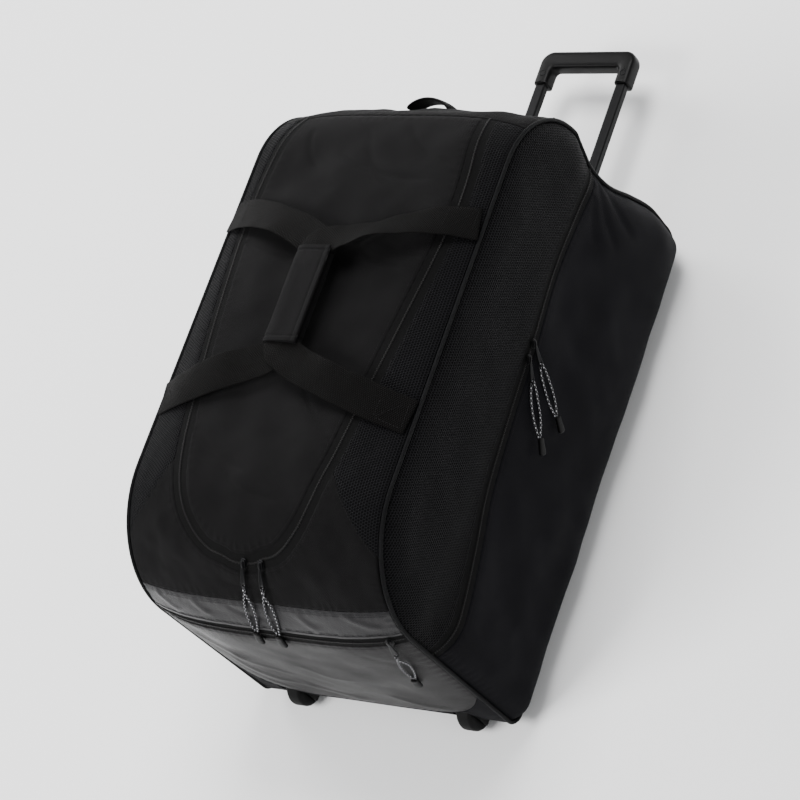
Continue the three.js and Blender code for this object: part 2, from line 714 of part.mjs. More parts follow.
function footGeometry() {
  const [a, b] = [footWidth / 2, footLength / 2];
  const top = standHeight - cloth / 2 - clearance;
  const layers = [[a - footTaper, b - footTaper, 0], [a, b, footTaper], [a, b, top]];
  const points = layers.flatMap(([x, y, z]) => [
    new THREE.Vector3(-x, -y, z), new THREE.Vector3(x, -y, z),
    new THREE.Vector3(x, y, z), new THREE.Vector3(-x, y, z)]);
  const triangles = [[0, 2, 1], [0, 3, 2], [8, 9, 10], [8, 10, 11]];
  for (let layer = 0; layer < 2; layer += 1) {
    for (let k = 0; k < 4; k += 1) {
      const [p, q] = [layer * 4 + k, layer * 4 + ((k + 1) % 4)];
      triangles.push([p, q, q + 4], [p, q + 4, p + 4]);
    }
  }
  return closedGeometry(points, triangles);
}

for (const [name, side] of [['left', -1], ['right', 1]]) {
  const x = (side * wheelTread) / 2;
  addPiece(`wheel_${name}`, wheelGeometry(), finish.rubber).position.set(x, axleInset, wheelRadius);
  addPiece(`wheel_housing_${name}`, housingGeometry(), finish.plastic).position.set(x, 0, 0);
  addPiece(`foot_${name}`, footGeometry(), finish.plastic).position.set(x, footPlace, 0);
}

// The telescopic handle: a throat in the handle end, fixed sleeves, sliding tubes and a grip
function roundedRectangle(width, height, corner) {
  const [a, b] = [width / 2, height / 2];
  const shape = new THREE.Shape();
  shape.moveTo(-a + corner, -b);
  shape.lineTo(a - corner, -b);
  shape.absarc(a - corner, -b + corner, corner, -Math.PI / 2, 0);
  shape.lineTo(a, b - corner);
  shape.absarc(a - corner, b - corner, corner, 0, Math.PI / 2);
  shape.lineTo(-a + corner, b);
  shape.absarc(-a + corner, b - corner, corner, Math.PI / 2, Math.PI);
  shape.lineTo(-a, -b + corner);
  shape.absarc(-a + corner, -b + corner, corner, Math.PI, 1.5 * Math.PI);
  return shape;
}

// A bar of this section along Y, from one place to another
function barAlongY(shape, from, to) {
  const geometry = new THREE.ExtrudeGeometry(shape, {
    depth: to - from, bevelEnabled: false, curveSegments: 2,
  });
  geometry.rotateX(Math.PI / 2);
  geometry.translate(0, to, 0);
  return geometry;
}

const tubeCorner = 2.5;
function rectangularTube(width, depth, wall, from, to) {
  const section = roundedRectangle(width, depth, tubeCorner);
  section.holes.push(roundedRectangle(width - 2 * wall, depth - 2 * wall, tubeCorner - wall / 2));
  return barAlongY(section, from, to);
}
const sleeveInnerWidth = tubeWidth + 2 * slideRoom;
const sleeveInnerDepth = tubeDepth + 2 * slideRoom;
const sleeveWidth = sleeveInnerWidth + 2 * sleeveWall;
const sleeveDepth = sleeveInnerDepth + 2 * sleeveWall;
const sleeveEnd = throatFace - throatDepth / 2;
const throatGeometry = [-1, 1].reduce((geometry, side) => {
  const x = (side * tubeSpread) / 2;
  const seat = barAlongY(
    roundedRectangle(sleeveWidth + 2 * clearance, sleeveDepth + 2 * clearance, tubeCorner),
    throatFace - 2 * throatDepth, sleeveEnd + clearance);
  const way = barAlongY(
    roundedRectangle(sleeveInnerWidth, sleeveInnerDepth, tubeCorner), throatFace - throatDepth, throatFace + 1);
  seat.translate(x, 0, tubeLevel);
  way.translate(x, 0, tubeLevel);
  return cut(geometry, seat, way);
}, block(throatLow, throatHigh));
addPiece('handle_throat', throatGeometry, finish.plastic);

const gripTopLevel = tubeLevel + tubeDepth / 2 + gripWallOverTube;
const socketEnd = gripReach + gripLipStep + gripSocketDepth;
for (const [name, side] of [['left', -1], ['right', 1]]) {
  const x = (side * tubeSpread) / 2;
  addPiece(`sleeve_${name}`,
    rectangularTube(sleeveWidth, sleeveDepth, sleeveWall, sleeveEnd - sleeveLength, sleeveEnd),
    finish.tube).position.set(x, 0, tubeLevel);
  addPiece(`tube_${name}`,
    rectangularTube(tubeWidth, tubeDepth, tubeWall, sleeveEnd - tubeInside, socketEnd - clearance),
    finish.tube).position.set(x, 0, tubeLevel);
}

function gripGeometry() {
  const half = gripWidth / 2 - gripRounding;
  const inner = gripWidth / 2 - gripArm + gripRounding;
  const low = gripReach + gripRounding;
  const high = gripReach + gripHeight - gripRounding;
  const underBar = high - gripBar + 2 * gripRounding;
  const corner = gripCorner - gripRounding;
  const shape = new THREE.Shape();
  shape.moveTo(-half, low);
  shape.lineTo(-inner, low);
  shape.lineTo(-inner, underBar - gripRounding);
  shape.lineTo(-inner + gripRounding, underBar);
  shape.lineTo(inner - gripRounding, underBar);
  shape.lineTo(inner, underBar - gripRounding);
  shape.lineTo(inner, low);
  shape.lineTo(half, low);
  shape.lineTo(half, high - corner);
  shape.absarc(half - corner, high - corner, corner, 0, Math.PI / 2);
  shape.lineTo(-half + corner, high);
  shape.absarc(-half + corner, high - corner, corner, Math.PI / 2, Math.PI);
  const body = new THREE.ExtrudeGeometry(shape, {
    depth: gripDepth - 2 * gripRounding, bevelThickness: gripRounding, bevelSize: gripRounding,
    bevelSegments: 1, curveSegments: 4,
  });
  body.translate(0, 0, gripTopLevel - gripDepth + gripRounding);
  const tools = [-1, 1].flatMap((side) => {
    const x = (side * tubeSpread) / 2;
    const socket = barAlongY(
      roundedRectangle(tubeWidth + 2 * clearance, tubeDepth + 2 * clearance, tubeCorner),
      gripReach - 1, socketEnd);
    socket.translate(x, 0, tubeLevel);
    const lip = block(
      new THREE.Vector3(x - gripArm, gripReach - 1, tubeLevel - tubeDepth / 2 - clearance),
      new THREE.Vector3(x + gripArm, gripReach + gripLipStep, gripTopLevel + 1));
    const screw = new THREE.CylinderGeometry(screwRadius, screwRadius, 2 * screwDepth, 10);
    screw.rotateX(Math.PI / 2);
    screw.translate(x, gripReach + gripLipStep + 2 * screwRadius, gripTopLevel);
    return [socket, lip, screw];
  });
  return cut(body, ...tools);
}
addPiece('grip', gripGeometry(), finish.plastic);

// Webbing: a ribbon carried along a smooth path, turned about the path by its roll
function topSurface(x, y) {
  return bandPoint(onTop(y), x, -cloth / 2).z;
}

function ribbon(stations, width, thickness, steps, bed) {
  const path = new THREE.CatmullRomCurve3(stations.map(({ at }) => at), false, 'centripetal');
  const points = [];
  const triangles = [];
  for (let i = 0; i <= steps; i += 1) {
    const share = i / steps;
    const middle = path.getPoint(share);
    middle.z = Math.max(middle.z, bed(middle));
    const along = path.getTangent(share);
    const row = share * (stations.length - 1);
    const k = Math.min(Math.floor(row), stations.length - 2);
    const smooth = THREE.MathUtils.smoothstep(row - k, 0, 1);
    const roll = stations[k].roll + (stations[k + 1].roll - stations[k].roll) * smooth;
    const level = new THREE.Vector3(0, 0, 1).cross(along).normalize();
    const across = level.clone().applyAxisAngle(along, THREE.MathUtils.degToRad(roll));
    const up = along.clone().cross(across).normalize();
    for (const [a, b] of [[-1, -1], [1, -1], [1, 1], [-1, 1]]) {
      points.push(middle.clone().addScaledVector(across, (a * width) / 2).addScaledVector(up, (b * thickness) / 2));
    }
    if (i > 0) {
      for (let m = 0; m < 4; m += 1) {
        const [p, q] = [(i - 1) * 4 + m, (i - 1) * 4 + ((m + 1) % 4)];
        triangles.push([p, q, q + 4], [p, q + 4, p + 4]);
      }
    }
  }
  const end = steps * 4;
  triangles.push([0, 2, 1], [0, 3, 2], [end, end + 1, end + 2], [end, end + 2, end + 3]);
  return closedGeometry(points, triangles);
}

// One half of a carrying loop, from the piping to the wrap: out is the share of the way to the
// piping, along the share of the way from the wrap's end to the strap's seam, lift in millimetres
// over the cloth as a share of the wrap's own lift, roll in degrees
const strapRows = [
  { out: 1.0, along: 1.0, lift: 0, roll: 0 },
  { out: 0.8, along: 0.95, lift: 0.45, roll: 4 },
  { out: 0.58, along: 0.88, lift: 1.1, roll: 12 },
  { out: 0.38, along: 0.78, lift: 1.6, roll: 18 },
  { out: 0.2, along: 0.62, lift: 1.75, roll: 10 },
  { out: 0.07, along: 0.4, lift: 1.5, roll: 4 },
  { out: 0.01, along: 0.16, lift: 1.3, roll: 1 },
  { out: 0, along: -0.05, lift: 1.3, roll: 0 },
  { out: 0, along: -0.5, lift: 1.3, roll: 0 },
];
const strapEnd = bandHalf - clearance;
const strapSeat = 1.8;
const wrapFrom = wrapMiddle - wrapLength / 2;
const wrapTo = wrapMiddle + wrapLength / 2;
const wrapBore = wrapHeight - 2 * wrapWall;
const wrapLevel = topSurface(0, wrapMiddle) + wrapLift + wrapHeight / 2;
const strapBed = ({ x, y }) => topSurface(x, y) + strapSeat + webbingThickness / 2;
function carryStrap(side) {
  const inWrap = wrapLevel + side * (wrapBore / 2 - clearance - webbingThickness / 2);
  const half = (seam, mouth, turn) => strapRows.map(({ out, along, lift, roll }) => {
    const x = side * out * strapEnd;
    const y = mouth + (seam - mouth) * along;
    const free = strapBed({ x, y }) + lift * wrapLift + Math.sin(THREE.MathUtils.degToRad(roll)) * (webbing / 2);
    const share = THREE.MathUtils.clamp(1 - out * 4, 0, 1);
    return { at: new THREE.Vector3(x, y, free + (inWrap - free) * share), roll: roll * side * turn };
  });
  const upper = half(upperStrapPlace, wrapTo, 1);
  const lower = half(lowerStrapPlace, wrapFrom, 1);
  return ribbon([...upper, ...lower.reverse()], webbing, webbingThickness, 36, strapBed);
}
addPiece('carry_strap_left', carryStrap(-1), finish.webbing);
addPiece('carry_strap_right', carryStrap(1), finish.webbing);

function wrapGeometry() {
  const outer = roundedRectangle(wrapWidth, wrapHeight, wrapHeight / 2 - clearance);
  outer.holes.push(roundedRectangle(webbing + 2 * wrapSideRoom, wrapBore, wrapBoreCorner));
  const geometry = new THREE.ExtrudeGeometry(outer, {
    depth: wrapLength, bevelEnabled: false, curveSegments: 4,
  });
  geometry.rotateX(Math.PI / 2);
  geometry.translate(0, wrapTo, wrapLevel);
  return geometry;
}
addPiece('grip_wrap', wrapGeometry(), finish.smooth);

// The short handle on the handle end, an arch of webbing across the bag, standing off the cloth
function grabGeometry() {
  const middle = onHandleEnd(grabMiddle);
  const steps = 12;
  const seat = cloth / 2 + clearance;
  const inner = (share) => seat + (grabRise - grabThickness) * Math.sin(Math.PI * share) ** 0.7;
  return sewn(gridPattern(steps, 2, (i, j) => [i, (j - 0.5) * grabWidth]), (share, s, layer) => {
    const rise = inner(share) + (layer < 0 ? grabThickness : 0);
    return bandPoint(middle + s, (share - 0.5) * grabLength, -rise);
  });
}
addPiece('grab_handle', grabGeometry(), finish.webbing);

// Zip pullers: each lies along the cloth. A place on it is given by t along the pull, w across
// it and h above the cloth.
const cordRadius = cordDiameter / 2;
const eyePlace = tabLength - eyeRadius - eyeRim;
const cordEndPlace = eyePlace + loopLength;
const cordRest = cordSeat + cordRadius;

// The cord's route from its moulded end, round the rim of the tab's eye and back: t is the share
// of the loop's length, turn the share of the bend round the rim, w of the half width, h of the
// height over the tab
const cordRoute = [
  { t: 1, turn: 0, w: 0.25, h: 0 },
  { t: 0.92, turn: 0, w: 0.46, h: 0 },
  { t: 0.79, turn: 0, w: 0.82, h: 0 },
  { t: 0.6, turn: 0, w: 1, h: 0 },
  { t: 0.42, turn: 0, w: 0.92, h: 0.05 },
  { t: 0.25, turn: 1, w: 0.66, h: 0.4 },
  { t: 0.12, turn: 1.5, w: 0.35, h: 0.85 },
  { t: 0.04, turn: 1.5, w: 0.12, h: 1 },
  { t: 0, turn: 1.4, w: 0.03, h: 1 },
  { t: 0, turn: 0.75, w: 0.01, h: 0.96 },
  { t: 0, turn: 0.33, w: 0, h: 0.74 },
  { t: 0, turn: 0.33, w: 0, h: 0.26 },
  { t: 0, turn: 0.75, w: -0.01, h: 0.04 },
  { t: 0.02, turn: 1.5, w: -0.08, h: 0 },
  { t: 0.18, turn: 0, w: -0.5, h: 0 },
  { t: 0.4, turn: 0, w: -0.9, h: 0 },
  { t: 0.6, turn: 0, w: -1, h: 0 },
  { t: 0.79, turn: 0, w: -0.82, h: 0 },
  { t: 0.92, turn: 0, w: -0.46, h: 0 },
  { t: 1, turn: 0, w: -0.25, h: 0 },
];
const overTab = tabLift + tabThickness + clearance + cordRadius;

// The steps along a cord lie at the points of its route
class CordCurve extends THREE.CatmullRomCurve3 {
  getUtoTmapping(share) {
    return share;
  }
}
const cordSides = 6;
const cordSection = new THREE.Shape(Array.from({ length: cordSides }, (_, k) => {
  const angle = (2 * Math.PI * k) / cordSides;
  return new THREE.Vector2(cordRadius * Math.cos(angle), cordRadius * Math.sin(angle));
}));

function cordGeometry(drape) {
  const route = new CordCurve(cordRoute.map(({ t, turn, w, h }) => drape(
    eyePlace + t * (loopLength - clearance) + turn * rimTurn, (w * (loopWidth - cordDiameter)) / 2,
    cordRest + h * (overTab - cordRest))));
  return new THREE.ExtrudeGeometry(cordSection, { steps: cordRoute.length - 1, extrudePath: route });
}

function draped(geometry, drape) {
  const mesh = toSolid(geometry).getMesh();
  const places = [];
  for (let i = 0; i < mesh.vertProperties.length; i += 3) places.push(drape(...mesh.vertProperties.slice(i, i + 3)));
  const triangles = [];
  for (let i = 0; i < mesh.triVerts.length; i += 3) triangles.push([...mesh.triVerts.slice(i, i + 3)]);
  return closedGeometry(places, triangles);
}

function sliderGeometry(drape) {
  const body = block(
    new THREE.Vector3(-sliderLength / 2, -sliderWidth / 2, sliderSeat),
    new THREE.Vector3(sliderLength / 2, sliderWidth / 2, sliderHeight));
  const tab = new THREE.Shape();
  const half = tabWidth / 2;
  tab.moveTo(0, -half * 0.7);
  tab.lineTo(tabLength * 0.75, -half);
  tab.absarc(eyePlace, 0, half, -Math.PI / 2, Math.PI / 2);
  tab.lineTo(tabLength * 0.75, half);
  tab.lineTo(0, half * 0.7);
  const eye = new THREE.Path();
  eye.absarc(eyePlace, 0, eyeRadius, 0, 2 * Math.PI);
  tab.holes.push(eye);
  const plate = new THREE.ExtrudeGeometry(tab, { depth: tabThickness, bevelEnabled: false, curveSegments: 4 });
  plate.translate(0, 0, tabLift);
  return draped(toGeometry(toSolid(body).add(toSolid(plate))), drape);
}

function cordEndGeometry(drape) {
  const [from, to] = [cordEndPlace, cordEndPlace + cordEndLength];
  const [near, far] = [cordEndWidth * 0.36, cordEndWidth * 0.5];
  const shape = new THREE.Shape();
  shape.moveTo(from, -near);
  shape.lineTo(to - 2, -far);
  shape.lineTo(to, 0);
  shape.lineTo(to - 2, far);
  shape.lineTo(from, near);
  const geometry = new THREE.ExtrudeGeometry(shape, { depth: cordEndHeight, bevelEnabled: false });
  geometry.translate(0, 0, cordEndLift);
  return draped(geometry, drape);
}

// On the band: t runs along the outline, turned a little towards one side. Where the cloth is
// hollow, the pull hangs a little further off it.
const hollowRoom = 0.6;
function drapeOnBand(station, x, turn, off = 0) {
  const angle = THREE.MathUtils.degToRad(turn);
  return (t, w, h) => bandPoint(
    station + t * Math.cos(angle) - w * Math.sin(angle),
    x + t * Math.sin(angle) + w * Math.cos(angle), -cloth / 2 - h - off);
}

// On a side: t runs down from the zip, turned towards the wheel end
function drapeOnSide(side, y, turn) {
  const angle = THREE.MathUtils.degToRad(turn);
  const z = sideZipAt(y);
  const at = (t, w) => sidePoint(side,
    y - t * Math.sin(angle) + w * Math.cos(angle), z - t * Math.cos(angle) - w * Math.sin(angle), -cloth / 2);
  return (t, w, h) => {
    const place = at(t, w);
    const alongT = at(t + 1, w).sub(at(t - 1, w));
    const alongW = at(t, w + 1).sub(at(t, w - 1));
    const normal = alongT.cross(alongW).normalize();
    if (normal.x * side < 0) normal.negate();
    return place.addScaledVector(normal, h);
  };
}

const endZipMiddle = (stripLower + endZipLower) / 2;
const backZipMiddle = (backZipLower + backZipUpper) / 2;
const pullers = [
  { name: 'flap_a', drape: drapeOnBand(flapTip + 3, 2, -14) },
  { name: 'flap_b', drape: drapeOnBand(flapTip + 3, 31, -10) },
  { name: 'side_right_a', drape: drapeOnSide(1, bagLength * 0.5632, 52) },
  { name: 'side_right_b', drape: drapeOnSide(1, bagLength * 0.5947, 38) },
  { name: 'side_left', drape: drapeOnSide(-1, bagLength * 0.5789, 40) },
  { name: 'end', drape: drapeOnBand(endZipMiddle, 188, -12) },
  { name: 'back', drape: drapeOnBand(backZipMiddle, 190, 180, hollowRoom) },
];
for (const { name, drape } of pullers) {
  addPiece(`slider_${name}`, sliderGeometry(drape), finish.metal);
  addPiece(`cord_${name}`, cordGeometry(drape), finish.cord);
  addPiece(`cord_end_${name}`, cordEndGeometry(drape), finish.plastic);
}

// The bag's own frame: the origin is on the floor under the middle of its box, cords left out
bag.updateMatrixWorld(true);
const box = new THREE.Box3();
for (const piece of bag.children) {
  if (!piece.name.startsWith('cord')) box.expandByObject(piece, true);
}
bag.position.set(-(box.min.x + box.max.x) / 2, -(box.min.y + box.max.y) / 2, -box.min.z);

export default bag;
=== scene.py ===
"""A wheeled kit bag with its telescopic handle drawn out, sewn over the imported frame.

Places on the cloth are worked out in millimetres from the same outline and tables as the
frame's solids, and put into each mesh in metres.
"""
import bpy
import numpy as np
from bpy.props import FloatProperty, FloatVectorProperty, PointerProperty
from mathutils import Matrix, Vector


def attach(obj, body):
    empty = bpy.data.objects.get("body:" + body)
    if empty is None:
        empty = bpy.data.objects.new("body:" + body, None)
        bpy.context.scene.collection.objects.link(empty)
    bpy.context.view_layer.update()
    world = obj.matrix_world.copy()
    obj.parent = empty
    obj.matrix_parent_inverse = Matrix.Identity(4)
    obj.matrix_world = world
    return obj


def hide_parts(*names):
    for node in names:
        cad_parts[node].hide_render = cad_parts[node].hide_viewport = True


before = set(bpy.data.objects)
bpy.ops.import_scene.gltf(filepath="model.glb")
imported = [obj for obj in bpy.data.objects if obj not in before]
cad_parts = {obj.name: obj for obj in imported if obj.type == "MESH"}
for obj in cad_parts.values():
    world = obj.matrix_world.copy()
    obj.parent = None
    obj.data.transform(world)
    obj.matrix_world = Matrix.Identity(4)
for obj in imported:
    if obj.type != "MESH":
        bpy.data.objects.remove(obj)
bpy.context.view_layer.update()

bl_info = {
    "name": "Wheeled Kit Bag",
    "version": (1, 0, 0),
    "blender": (4, 5, 0),
    "location": "3D View > Sidebar > Kit Bag",
    "description": "Sews a wheeled kit bag over its packed frame",
    "category": "Object",
}

METRES = 0.001

# Sizes of the shell in millimetres
BAG_LENGTH = 760
BAG_WIDTH = 427
BAG_HEIGHT = 440
CLOTH = 2
CLEARANCE = 0.3
PIPING_RADIUS = 3
WHEEL_TOP_RADIUS = 150
HANDLE_TOP_RADIUS = 123
WHEEL_BASE_RADIUS = 22
HANDLE_BASE_RADIUS = 35
END_FLARE = 15
END_PINCH = 20
TOP_CROWN = 34
CROWN_FULLNESS = 4
SIDE_BULGE = 34
SIDE_BULGE_REACH = 60
STAND_HEIGHT = 14
FRAME_SHIFT = 519.3408
SEAM_INSET = PIPING_RADIUS + CLEARANCE
BAND_HALF = BAG_WIDTH / 2 - SEAM_INSET
HALF_GAP = CLEARANCE / 2
BAG_MIDDLE = (0, -140, 230)

# Sizes of the openings and bands in millimetres
TOP_SEAM_PLACE = 700
FLAP_WIDTH = 344
FLAP_END = 48
FLAP_PITCH = 3.4
TAPE_OUTSIDE = 13
TAPE_INSIDE = 9
MESH_END_INNER = 150
MESH_END_OUTER = 62
MESH_END_INNER_HALF = 135
STRIP_TOP = 352
STRIP_BOTTOM = 308
END_ZIP_WIDTH = 17
BACK_ZIP_HEIGHT = 340
BACK_ZIP_WIDTH = 17
TRAY_TURN_UP = 45
TRAY_CORNER_RISE = 62
TRAY_HANDLE_TURN_UP = 30
SIDE_ZIP_HEIGHT = BAG_HEIGHT * 0.623
SIDE_ZIP_BAND = 22
WHEEL_TREAD = 297
HOUSING_HALF = 17
HOUSING_BACK = 48
HOUSING_TOP = 66
THROAT_HALF_WIDTH = 95
THROAT_LOW = 56
THROAT_HIGH = 92

# Share of the height where the handle end flares or is drawn in: up, flare, pinch
HANDLE_END_ROWS = np.array([
    (0.10, 1.0, 0.0), (0.21, 1.0, 0.0), (0.33, 0.5, 0.3), (0.46, 0.0, 0.85), (0.58, 0.0, 1.0),
    (0.66, 0.0, 0.5),
])
# Fullness of the sides by share of the height: up, out
SIDE_BULGE_ROWS = np.array([
    (0, 1), (0.3, 1), (0.5, 0.72), (0.61, 0.45), (0.72, 0.56), (0.86, 0.5), (1, 0.4),
])
# Half width of the flap by share of its length: along, half
FLAP_ROWS = np.array([
    (0, 0.9), (0.05, 0.94), (0.13, 0.985), (0.22, 1.0), (0.33, 0.97), (0.53, 0.88), (0.69, 0.79),
    (0.79, 0.73), (0.86, 0.66), (0.915, 0.57), (0.955, 0.45), (0.982, 0.31), (1, 0.1),
])
# Height of the side zips by share of the bag's length: along, up
SIDE_ZIP_ROWS = np.array([
    (0, 0.87), (0.08, 0.86), (0.2, 0.905), (0.31, 0.96), (0.47, 0.99), (0.59, 1.0), (0.74, 1.03),
    (0.88, 1.0), (0.94, 0.975), (0.98, 0.955),
])


# Curves

def cubic(t, start, end, start_slope, end_slope):
    """Cubic from one value to another with given slopes at both ends; t runs from 0 to 1."""
    return ((2 * t**3 - 3 * t**2 + 1) * start + (t**3 - 2 * t**2 + t) * start_slope
            + (3 * t**2 - 2 * t**3) * end + (t**3 - t**2) * end_slope)


def through_rows(rows, place):
    """Cubic through the rows of a two-column table; the slope at a row is that between its
    neighbours, and level at both ends."""
    at, value = rows[:, 0], rows[:, 1]
    slope = np.zeros(len(at))
    slope[1:-1] = (value[2:] - value[:-2]) / (at[2:] - at[:-2])
    place = np.clip(place, at[0], at[-1])
    k = np.clip(np.searchsorted(at, place, side="right") - 1, 0, len(at) - 2)
    span = at[k + 1] - at[k]
    return cubic((place - at[k]) / span, value[k], value[k + 1], slope[k] * span, slope[k + 1] * span)


def spans_of(count, samples):
    """For samples spread evenly over the spans between rows: the span of each and its share."""
    share = np.linspace(0, count - 1, samples)
    k = np.minimum(share.astype(int), count - 2)
    return k, share - k


def smooth_path(points, count):
    """Catmull-Rom curve through the points: each span is a cubic whose end slopes come from
    the two spans beside it, weighted by the square roots of the spans' lengths."""
    knots = np.vstack([2 * points[0] - points[1], points, 2 * points[-1] - points[-2]])
    k, t = spans_of(len(points), count)
    p0, p1, p2, p3 = (knots[k + n] for n in range(4))
    d0, d1, d2 = (np.maximum(np.sqrt(np.linalg.norm(b - a, axis=1)[:, None]), 1e-6)
                  for a, b in ((p0, p1), (p1, p2), (p2, p3)))
    slope1 = ((p1 - p0) / d0 - (p2 - p0) / (d0 + d1) + (p2 - p1) / d1) * d1
    slope2 = ((p2 - p1) / d1 - (p3 - p1) / (d1 + d2) + (p3 - p2) / d2) * d1
    return cubic(t[:, None], p1, p2, slope1, slope2)


def running_length(points):
    """Sum of the chord lengths up to each point."""
    return np.concatenate([[0], np.cumsum(np.linalg.norm(np.diff(points, axis=0), axis=1))])


def spaced(points, pitch, even=False):
    """The polyline through the points, at steps of equal length near the pitch."""
    length = running_length(points)
    steps = max(2, int(round(length[-1] / pitch)))
    if even and steps % 2 == 0:
        steps += 1
    at = np.linspace(0, length[-1], steps + 1)
    return np.stack([np.interp(at, length, column) for column in points.T], axis=1)


# Places of the fine steps beside an edge, in millimetres from it
FINE_STEPS = (1.0, 2.4, 4.4, 7.0)


def graded(breaks, cell):
    """Places from the first break to the last, about a cell apart, with the fine steps on both
    sides of each break."""
    places = []
    for low, high in zip(breaks[:-1], breaks[1:]):
        span = high - low
        near = np.array([step for step in FINE_STEPS if step < span * 0.3])
        reach = near[-1] if len(near) else 0
        steps = max(2, int(round((span - 2 * reach) / cell)) + 1)
        inner = np.linspace(low + reach, high - reach, steps)
        places += [[low], low + near[:-1], inner, high - near[:-1][::-1]]
    places.append([breaks[-1]])
    return np.unique(np.round(np.concatenate(places), 4))


def shares_of(span, cell):
    """The same places over a span, as shares of it."""
    return graded([0, span], cell) / span


def grid(first, second):
    """All pairs of two lists of values, as rows and columns."""
    return np.stack(np.meshgrid(first, second, indexing="ij"), axis=-1)


def level_line(first, second):
    """A line of places whose first coordinate stays the same."""
    return np.stack([np.full(len(second), first), second], axis=1)


def circle(count):
    """Cosine and sine of evenly spaced angles of a full turn."""
    angle = 2 * np.pi * np.arange(count) / count
    return np.cos(angle), np.sin(angle)


def arc(centre, radius, start, end, count=120):
    """Points of a circle between two angles in degrees."""
    angle = np.radians(np.linspace(start, end, count))
    return np.stack([centre[0] + radius * np.cos(angle), centre[1] + radius * np.sin(angle)], axis=1)


def outline_points():
    """The bag's outline from the side: straight runs, round corners, and a smooth spline up the
    handle end."""
    up, flare, pinch = HANDLE_END_ROWS.T
    spline = np.stack([BAG_LENGTH + flare * END_FLARE - pinch * END_PINCH, up * BAG_HEIGHT], axis=1)
    foot = BAG_LENGTH + END_FLARE - HANDLE_BASE_RADIUS
    handle_shoulder = BAG_HEIGHT - HANDLE_TOP_RADIUS
    wheel_shoulder = BAG_HEIGHT - WHEEL_TOP_RADIUS
    places = np.vstack([[[foot + HANDLE_BASE_RADIUS, HANDLE_BASE_RADIUS]], spline,
                        [[BAG_LENGTH, handle_shoulder]]])
    padded = np.vstack([places[:1], places, places[-1:]])
    k, t = spans_of(len(places), 400)
    p0, p1, p2, p3 = (padded[k + n] for n in range(4))
    points = np.vstack([
        np.linspace([WHEEL_BASE_RADIUS, 0], [foot, 0], 200),
        arc((foot, HANDLE_BASE_RADIUS), HANDLE_BASE_RADIUS, -90, 0),
        cubic(t[:, None], p1, p2, (p2 - p0) / 2, (p3 - p1) / 2),
        arc((BAG_LENGTH - HANDLE_TOP_RADIUS, handle_shoulder), HANDLE_TOP_RADIUS, 0, 90),
        np.linspace([BAG_LENGTH - HANDLE_TOP_RADIUS, BAG_HEIGHT], [WHEEL_TOP_RADIUS, BAG_HEIGHT], 200),
        arc((WHEEL_TOP_RADIUS, wheel_shoulder), WHEEL_TOP_RADIUS, 90, 180),
        np.linspace([0, wheel_shoulder], [0, WHEEL_BASE_RADIUS], 100),
        arc((WHEEL_BASE_RADIUS, WHEEL_BASE_RADIUS), WHEEL_BASE_RADIUS, 180, 270),
    ])
    moved = np.linalg.norm(np.diff(points, axis=0), axis=1) > 1e-6
    return points[np.concatenate([[True], moved])]


OUTLINE = outline_points()
STATIONS = running_length(OUTLINE)
AROUND = STATIONS[-1]
NORMAL_REACH = 5


def on_outline(station):
    """The outline's y and z at a running length, which wraps round."""
    wrapped = np.mod(station, AROUND)
    return np.stack([np.interp(wrapped, STATIONS, column) for column in OUTLINE.T], axis=-1)


def outline_normal(station):
    """Outward direction: the chord over a short reach, turned by a right angle."""
    along = on_outline(station + NORMAL_REACH) - on_outline(station - NORMAL_REACH)
    along /= np.linalg.norm(along, axis=-1, keepdims=True)
    return np.stack([along[..., 1], -along[..., 0]], axis=-1)


def station_where(in_range, column, wanted):
    """The first station in a range of the outline where y or z takes a value."""
    a, b = OUTLINE[:-1], OUTLINE[1:]
    va, vb = a[:, column] - wanted, b[:, column] - wanted
    found = np.flatnonzero(in_range(a) & (va * vb <= 0) & (va != vb))
    if not len(found):
        raise RuntimeError(f"the outline has no place {wanted}")
    k = found[0]
    return STATIONS[k] + va[k] / (va[k] - vb[k]) * (STATIONS[k + 1] - STATIONS[k])


def on_top(y):
    return station_where(lambda p: p[:, 1] > BAG_HEIGHT / 2, 0, y)


def on_wheel_end(z):
    return station_where(lambda p: p[:, 0] < BAG_LENGTH / 2, 1, z)


def on_handle_end(z):
    return station_where(lambda p: p[:, 0] >= BAG_LENGTH / 2, 1, z)


# How far the band stands out from the outline, in shares of the crown: station, rise
CROWN_ROWS = np.array([
    (on_handle_end(HANDLE_BASE_RADIUS / 2), 0),
    (on_handle_end(BAG_HEIGHT * 0.2), 0.3),
    (on_handle_end(BAG_HEIGHT * 0.55), 0.3),
    (on_handle_end(BAG_HEIGHT * 0.8), 0.32),
    (on_top(BAG_LENGTH * 0.92), 0.62),
    (on_top(BAG_LENGTH * 0.8), 0.85),
    (on_top(BAG_LENGTH * 0.5), 1),
    (on_top(BAG_LENGTH * 0.25), 0.88),
    (on_wheel_end(BAG_HEIGHT * 0.95), 0.62),
    (on_wheel_end(BAG_HEIGHT * 0.8), 0.45),
    (on_wheel_end(BAG_HEIGHT * 0.6), 0.72),
    (on_wheel_end(BAG_HEIGHT * 0.35), 0.62),
    (on_wheel_end(BAG_HEIGHT * 0.12), 0.3),
    (on_wheel_end(WHEEL_BASE_RADIUS / 2), 0),
])


def band_point(station, across, height):
    """A place of the band that runs round the bag: the outline, moved out along its normal by
    the crown, which falls off towards the piping with the fourth power, and by the height."""
    station, across, height = np.broadcast_arrays(station, across, height)
    fall = 1 - np.abs(across / (BAG_WIDTH / 2)) ** CROWN_FULLNESS
    out = TOP_CROWN * through_rows(CROWN_ROWS, np.mod(station, AROUND)) * fall + height
    place = on_outline(station) + outline_normal(station) * out[..., None]
    return np.stack([across, place[..., 0] - FRAME_SHIFT, place[..., 1] + STAND_HEIGHT], axis=-1)


